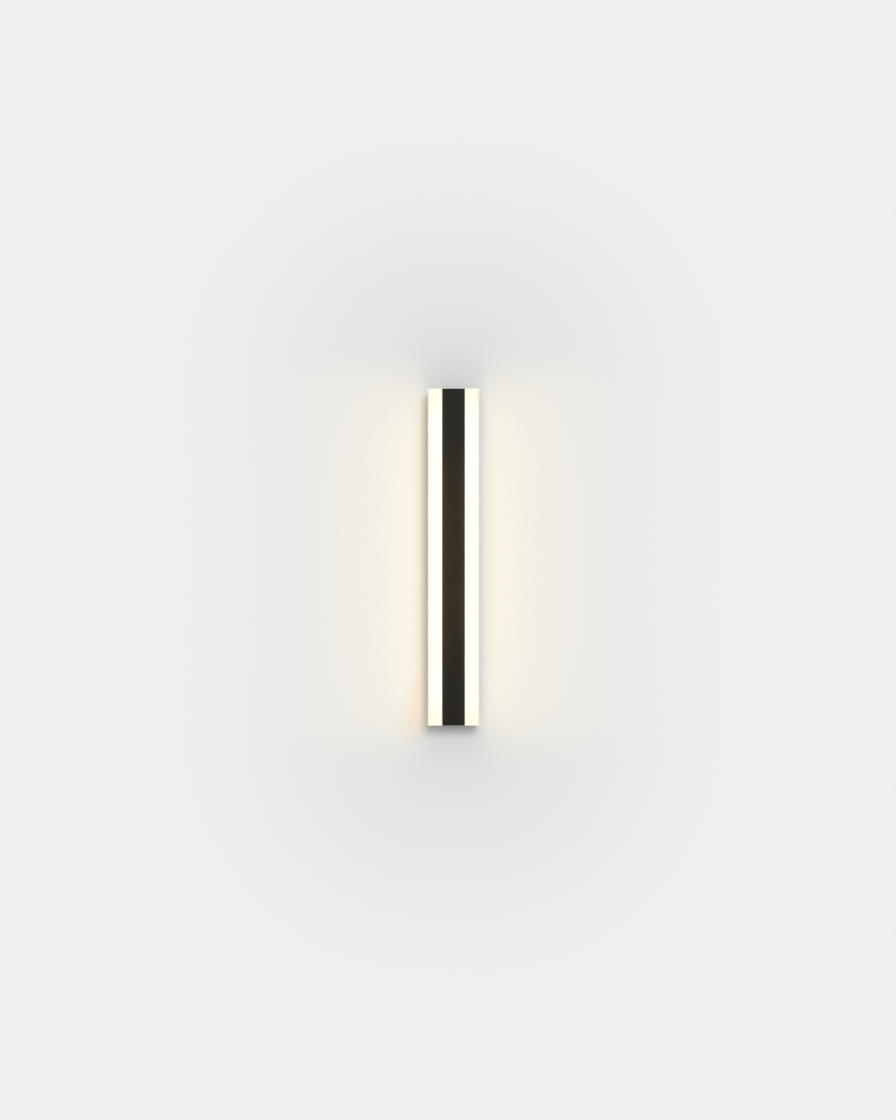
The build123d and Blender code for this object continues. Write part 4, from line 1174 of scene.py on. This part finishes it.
class WALLLIGHT_OT_bushes(bpy.types.Operator):
    """Models the rubber bushes, with lips inside their bores and rounded flanges"""

    bl_idname = "wall_light.bushes"
    bl_label = "Rubber bushes"

    most_edge = 0.35

    def bush(self, bore, neck, flange_r, flange, sheet):
        """Bush about z, with the sheet's middle plane at z = 0."""
        half = sheet / 2
        tip = half + flange
        edge = min(self.most_edge, flange / 3)
        upper = [
            (neck, half), (flange_r - edge / 2, half), (flange_r, half + edge / 2), (flange_r, tip - edge),
            (flange_r - edge * 0.3, tip - edge * 0.3), (flange_r - edge, tip), (bore + 2 * edge, tip),
            (bore + edge * 0.6, tip - edge * 0.4), (bore, tip - edge * 1.4),
        ]
        inner = [(bore, half * 0.3), (bore + edge, half * 0.2)]
        lower = [(r, -z) for r, z in reversed(upper + inner)]
        piece = turned("bush", upper + inner + lower, 56)
        shade(piece, 50)
        return piece

    def execute(self, context):
        for node, bore, neck, flange, sheet, turn in (
            ("cable_grommet", 4.5, 7.45, 1.5, 1.5, TO_WALL),
            ("web_grommet", 4.2, 5.95, 1.2, 1.5, TO_WALL),
            ("lead_bush_right", 1.3, 2.55, 1.0, 2.0, TO_RIGHT),
            ("lead_bush_left", 1.3, 2.55, 1.0, 2.0, TO_RIGHT),
        ):
            low, high = box(node)
            piece = self.bush(bore, neck, (high.z - low.z) / 2, flange, sheet)
            stands_for(place(piece, at(*middle_of(low, high), turn)), node)
        return {"FINISHED"}


class WALLLIGHT_OT_leads(bpy.types.Operator):
    """Lays the insulated leads along their smooth routes"""

    bl_idname = "wall_light.leads"
    bl_label = "Leads"

    radius = 1.2
    routes = {
        "lead_live": (
            (-8, -9, 63.5), (-8, -9, 70), (-7.6, -9, 75), (-2.4, -9, 90), (-2, -9, 94), (-2, -9, 100.5),
            (-2, -9, 106), (-2, -13, 106), (-2, -18, 106), (-2, -25.6, 106), (-2, -25.6, 98), (-2, -25.6, 31),
        ),
        "lead_neutral": (
            (0, -9, 63.5), (0, -9, 76), (0.2, -9, 80), (1.8, -9, 91), (2, -9, 95), (2, -9, 100.5),
            (2, -9, 106), (2, -13, 106), (2, -18, 106), (2, -25.6, 106), (2, -25.6, 98), (2, -25.6, 31),
        ),
        "lead_earth": (
            (8, -9, 63.5), (8, -9, 71), (8, -10.2, 73.5), (8, -11.8, 75.5), (8, -12.6, 78), (8, -12.6, 83),
        ),
        "led_lead_right": (
            (4, -25.6, -131), (4, -25.6, -168), (4, -25.6, -175), (9, -25.6, -175), (17.5, -25.6, -175),
            (21.75, -25.6, -175), (21.75, -29.5, -175), (21.75, -33, -175), (21.75, -36.8, -175),
            (17.75, -36.8, -175),
        ),
    }

    def lay(self, name, route):
        line = bpy.data.curves.new(name, "CURVE")
        line.dimensions = "3D"
        line.bevel_depth = self.radius * MM
        line.bevel_resolution = 4
        line.resolution_u = 8
        line.use_fill_caps = True
        spline = line.splines.new("NURBS")
        spline.points.add(len(route) - 1)
        for point, spot in zip(spline.points, route):
            point.co = (*(place * MM for place in spot), 1.0)
        spline.order_u = 3
        spline.use_endpoint_u = True
        lead = bpy.data.objects.new(name, line)
        bpy.context.collection.objects.link(lead)
        choose(lead)
        bpy.ops.object.convert(target="MESH")
        lead = bpy.context.object
        with editing(lead):
            tidy_shell()
        choose(lead)
        bpy.ops.object.shade_smooth_by_angle(angle=math.radians(50))
        return lead

    def execute(self, context):
        for node, route in self.routes.items():
            lead = self.lay(node + ".line", route)
            if node == "led_lead_right":
                stands_for(copied(lead, OTHER_SIDE), "led_lead_left")
            stands_for(lead, node)
        return {"FINISHED"}


class WALLLIGHT_OT_led_packages(bpy.types.Operator):
    """Models one LED package with its dish and phosphor dome, and sets a row of them on each board"""

    bl_idname = "wall_light.led_packages"
    bl_label = "LED packages"

    count = 24
    width = 2.8
    length = 3.5
    height = 0.7
    rim = 0.35
    dish_slope = 0.12
    dish = 0.2
    corner_mark = 0.5
    dome_rings = ((0.35, 0.09), (0.3, 0.05))    # how far in each ring lies, and how far it rises

    def package(self):
        half_width, half_length = self.width / 2, self.length / 2
        case = add_block("package", (-half_length, -half_width, 0), (half_length, half_width, self.height))
        with editing(case):
            pick("FACE", lambda middle, way: way.z > 0.9)
            bpy.ops.mesh.inset(thickness=self.rim * MM)
            bpy.ops.mesh.inset(thickness=self.dish_slope * MM, depth=-self.dish * MM)
            for inwards, rise in self.dome_rings:
                bpy.ops.mesh.inset(thickness=inwards * MM, depth=rise * MM)
            pick("EDGE", lambda middle, way: upright(way) and middle.x < 0 and middle.y < 0)
            bpy.ops.mesh.bevel(offset=self.corner_mark * MM, segments=1, affect="EDGES")
        shade(case, 25)
        return case

    def execute(self, context):
        package = self.package()
        low, high = box("led_chips_right")
        pitch = (high.z - low.z - self.length) / (self.count - 1)
        heights = [low.z + self.length / 2 + number * pitch for number in range(self.count)]
        row = join(*[copied(package, at(low.x, (low.y + high.y) / 2, z, TO_RIGHT)) for z in heights])
        stands_for(copied(row, OTHER_SIDE), "led_chips_left")
        stands_for(row, "led_chips_right")
        bpy.data.objects.remove(package)
        return {"FINISHED"}


class WALLLIGHT_OT_formed_pieces(bpy.types.Operator):
    """Gives the pressed, folded and moulded pieces their rounded edges"""

    bl_idname = "wall_light.formed_pieces"
    bl_label = "Pressed and moulded pieces"

    edge_of = {
        "back_tray": 0.25,
        "wall_bracket": 0.2,
        "clamp_plate_top": 0.25,
        "clamp_plate_bottom": 0.25,
        "end_cap_top": 0.12,
        "end_cap_bottom": 0.12,
        "end_gasket_top": 0.1,
        "end_gasket_bottom": 0.1,
        "driver_case": 0.25,
        "driver_input_cover": 0.25,
        "driver_output_cover": 0.25,
        "terminal_block": 0.2,
        "led_plug_left": 0.15,
        "led_plug_right": 0.15,
        "earth_lug": 0.12,
        "led_board_left": 0.08,
        "led_board_right": 0.08,
    }

    def execute(self, context):
        for node, edge in self.edge_of.items():
            source = frame["nodes"][node]
            piece = source.copy()
            piece.data = source.data.copy()
            piece.parent = None
            bpy.context.collection.objects.link(piece)
            with editing(piece):
                tidy_shell()
                bpy.ops.mesh.dissolve_limited(angle_limit=math.radians(1))
            break_edges(piece, edge)
            stands_for(piece, node)
        return {"FINISHED"}


class WALLLIGHT_OT_finishes(bpy.types.Operator):
    """Gives every carried-over piece its finish"""

    bl_idname = "wall_light.finishes"
    bl_label = "Finish the pieces"

    def execute(self, context):
        for name, node in frame["nodes"].items():
            paint(node, SLOT_OF[name])
        return {"FINISHED"}


# Stage

# Where the wall's painted glow begins and ends, in millimetres from the lamp's side or past its ends
CREAM_FROM = 1
CREAM_FULL = 12
CREAM_FADES = 90
CREAM_TO = 190
CREAM_PAST_ENDS = 60
CREAM_STRENGTH = 0.3
WARM_TO = 16
WARM_FURTHER_AT_FOOT = 28
FOOT_HEIGHT = 80
WARM_HEAD_FADE = 14
WARM_PAST_FOOT = 30
WARM_STRENGTH = 0.7


def wall_material(settings):
    """Pale painted wall with painted shade and painted glow round the lamp, and clear when seen from behind.

    It has painted shade a little darker round the lamp, a painted creamy glow on both sides of it, and a
    painted warm glow close to its left side.
    """
    finish = Finish("painted wall")
    place = finish.place()
    x, y, z = place.parts()
    beside = (abs(x) - HALF_WIDTH).at_least(0)
    beyond = (abs(z) - HALF_HEIGHT).at_least(0)
    away = (beside * beside + beyond * beyond) ** 0.5 / (settings.shade_reach / MM)
    # painted shade: the wall darker round the lamp, passing out to the far colour
    shade = finish.blend(away.at_most(1), settings.wall_near_shade, settings.wall_far)

    # painted glow of the lamp's sides: a creamy band on both sides, fading past the ends
    across = beside.ramp(CREAM_FROM, CREAM_FULL) * (1 - beside.ramp(CREAM_FADES, CREAM_TO))
    cream = across * (1 - beyond.ramp(0, CREAM_PAST_ENDS)) * CREAM_STRENGTH
    creamy = finish.blend(cream, shade, settings.wall_cream)

    # painted warm glow close to the lamp's left side, wider toward its foot
    low = (0 - z).ramp(HALF_HEIGHT - FOOT_HEIGHT, HALF_HEIGHT)
    across = beside.ramp(-1, 4) * (1 - (beside / (low * WARM_FURTHER_AT_FOOT + WARM_TO)).ramp(0.25, 1.0))
    along = (1 - z.ramp(HALF_HEIGHT - WARM_HEAD_FADE, HALF_HEIGHT)) * (1 - beyond.ramp(0, WARM_PAST_FOOT))
    warm = across * along * (0 - x).over(0) * WARM_STRENGTH
    tone = finish.blend(warm, creamy, settings.wall_left_glow)

    grain = finish.noise(place, 1.5, detail=2.0)
    inputs = {
        "Base Color": tone,
        "Roughness": 0.9,
        "Specular IOR Level": 0.0,
        "Normal": finish.relief(grain, 0.02, 0.2),
    }
    painted = finish.node("ShaderNodeBsdfPrincipled", {}, inputs)
    clear = finish.node("ShaderNodeBsdfTransparent", {}, {})
    behind = finish.node("ShaderNodeNewGeometry", {}, {}, "Backfacing")
    mixed = finish.node("ShaderNodeMixShader", {}, {0: behind, 1: painted, 2: clear})
    finish.node("ShaderNodeOutputMaterial", {"target": "ALL"}, {"Surface": mixed})
    return finish.material


def pale_world(settings):
    """Even fill light, which the camera and shiny pieces see as the wall's own paleness."""
    world = bpy.data.worlds.new("pale room")
    room = ShaderTree(world)
    camera = room.node("ShaderNodeLightPath", {}, {}, "Is Camera Ray")
    glossy = room.node("ShaderNodeLightPath", {}, {}, "Is Glossy Ray")
    fill = room.node("ShaderNodeBackground", {}, {"Strength": settings.sky})
    backdrop = room.node("ShaderNodeBackground", {}, {"Color": (*settings.wall_far, 1.0)})
    mixed = room.node("ShaderNodeMixShader", {}, {0: camera.at_least(glossy), 1: fill, 2: backdrop})
    room.node("ShaderNodeOutputWorld", {}, {"Surface": mixed})
    return world


class WALLLIGHT_OT_stage(bpy.types.Operator):
    """Adds the wall, the light and the camera"""

    bl_idname = "wall_light.stage"
    bl_label = "Stage"

    wall_gap = 0.2
    wall_size = 8000.0
    key_rise_deg = 11.0
    key_right_deg = 4.0
    back_rise_deg = 40.0
    back_right_deg = 200.0
    key_softness_deg = 14.0
    sensor = 36.0
    glow_margin = 2.0
    glow_gap = 0.1

    def execute(self, context):
        settings = context.scene.wall_light
        bpy.ops.object.select_all(action="DESELECT")
        bpy.ops.mesh.primitive_plane_add(
            size=self.wall_size * MM, location=(0, self.wall_gap * MM, 0), rotation=(math.radians(90), 0, 0)
        )
        wall = context.object
        wall.name = "wall"
        bpy.ops.object.transform_apply(location=True, rotation=True, scale=True)
        wall.data.materials.append(wall_material(settings))
        wall.visible_shadow = False
        wall.visible_diffuse = False
        wall.visible_glossy = False

        context.scene.world = pale_world(settings)
        self.add_key("key", settings.sun, self.key_rise_deg, self.key_right_deg)
        self.add_key("back key", settings.sun, self.back_rise_deg, self.back_right_deg)
        for side in (-1, 1):
            self.add_glow(side, settings.glow)
        self.add_camera(context, settings)
        context.scene.view_settings.view_transform = "Standard"
        return {"FINISHED"}

    def add_key(self, name, strength, rise_deg, right_deg):
        """A soft distant light: rise above the horizon, and turned to the right of the camera."""
        rise, right = math.radians(rise_deg), math.radians(right_deg)
        toward = Vector((math.sin(right) * math.cos(rise), -math.cos(right) * math.cos(rise), math.sin(rise)))
        light = bpy.data.lights.new(name, "SUN")
        light.energy = strength
        light.angle = math.radians(self.key_softness_deg)
        lamp = bpy.data.objects.new(name, light)
        lamp.rotation_mode = "QUATERNION"
        lamp.rotation_quaternion = toward.to_track_quat("Z", "Y")
        bpy.context.collection.objects.link(lamp)

    def add_glow(self, side, color):
        """What a lit side throws on the wall, as a soft light over that side's face."""
        depth = (BACK - FRONT - 2 * self.glow_margin) * MM
        height = 2 * (HALF_HEIGHT - self.glow_margin) * MM
        light = bpy.data.lights.new("side glow", "AREA")
        light.shape = "RECTANGLE"
        light.size, light.size_y = depth, height
        light.color = color
        light.energy = math.pi * depth * height
        lamp = bpy.data.objects.new("side glow", light)
        lamp.location = (side * (HALF_WIDTH + self.glow_gap) * MM, (BACK + FRONT) / 2 * MM, 0)
        lamp.rotation_euler = (math.radians(90), 0, math.radians(-90) * side)
        lamp.visible_camera = False
        bpy.context.collection.objects.link(lamp)

    def add_camera(self, context, settings):
        """Straight on, so that the lamp stands where it does in the photograph."""
        mm_per_px = 2 * HALF_HEIGHT / (LAMP_BOTTOM_PX - LAMP_TOP_PX)
        distance = FRAME_HEIGHT_PX * mm_per_px * settings.lens / self.sensor
        lamp_up = (FRAME_HEIGHT_PX / 2 - (LAMP_TOP_PX + LAMP_BOTTOM_PX) / 2) * mm_per_px
        lamp_right = (LAMP_MIDDLE_PX - FRAME_WIDTH_PX / 2) * mm_per_px
        camera = bpy.data.cameras.new("camera")
        camera.lens = settings.lens
        camera.sensor_width = self.sensor
        holder = bpy.data.objects.new("camera", camera)
        holder.location = Vector((-lamp_right, FRONT - distance, -lamp_up)) * MM
        holder.rotation_euler = (math.radians(90), 0, 0)
        context.collection.objects.link(holder)
        context.scene.camera = holder


class WALLLIGHT_PT_panel(bpy.types.Panel):
    """The steps and settings of the wall light"""

    bl_idname = "WALLLIGHT_PT_panel"
    bl_label = "Wall light"
    bl_space_type = "VIEW_3D"
    bl_region_type = "UI"
    bl_category = "Wall light"

    def draw(self, context):
        for name in WallLightSettings.__annotations__:
            self.layout.prop(context.scene.wall_light, name)
        for step in STEPS:
            self.layout.operator(step.bl_idname)


STEPS = (
    WALLLIGHT_OT_opal_walls,
    WALLLIGHT_OT_cap_screws,
    WALLLIGHT_OT_lock_fastenings,
    WALLLIGHT_OT_fixing_screws,
    WALLLIGHT_OT_bushes,
    WALLLIGHT_OT_leads,
    WALLLIGHT_OT_led_packages,
    WALLLIGHT_OT_formed_pieces,
    WALLLIGHT_OT_finishes,
    WALLLIGHT_OT_stage,
)
CLASSES = (WallLightSettings, *STEPS, WALLLIGHT_PT_panel)


def register():
    for item in CLASSES:
        bpy.utils.register_class(item)
    bpy.types.Scene.wall_light = bpy.props.PointerProperty(type=WallLightSettings)


def unregister():
    del bpy.types.Scene.wall_light
    for item in reversed(CLASSES):
        bpy.utils.unregister_class(item)


def main():
    register()
    bpy.ops.wall_light.opal_walls()
    bpy.ops.wall_light.cap_screws()
    bpy.ops.wall_light.lock_fastenings()
    bpy.ops.wall_light.fixing_screws()
    bpy.ops.wall_light.bushes()
    bpy.ops.wall_light.leads()
    bpy.ops.wall_light.led_packages()
    bpy.ops.wall_light.formed_pieces()
    bpy.ops.wall_light.finishes()
    bpy.ops.wall_light.stage()


if __name__ == "__main__":
    main()
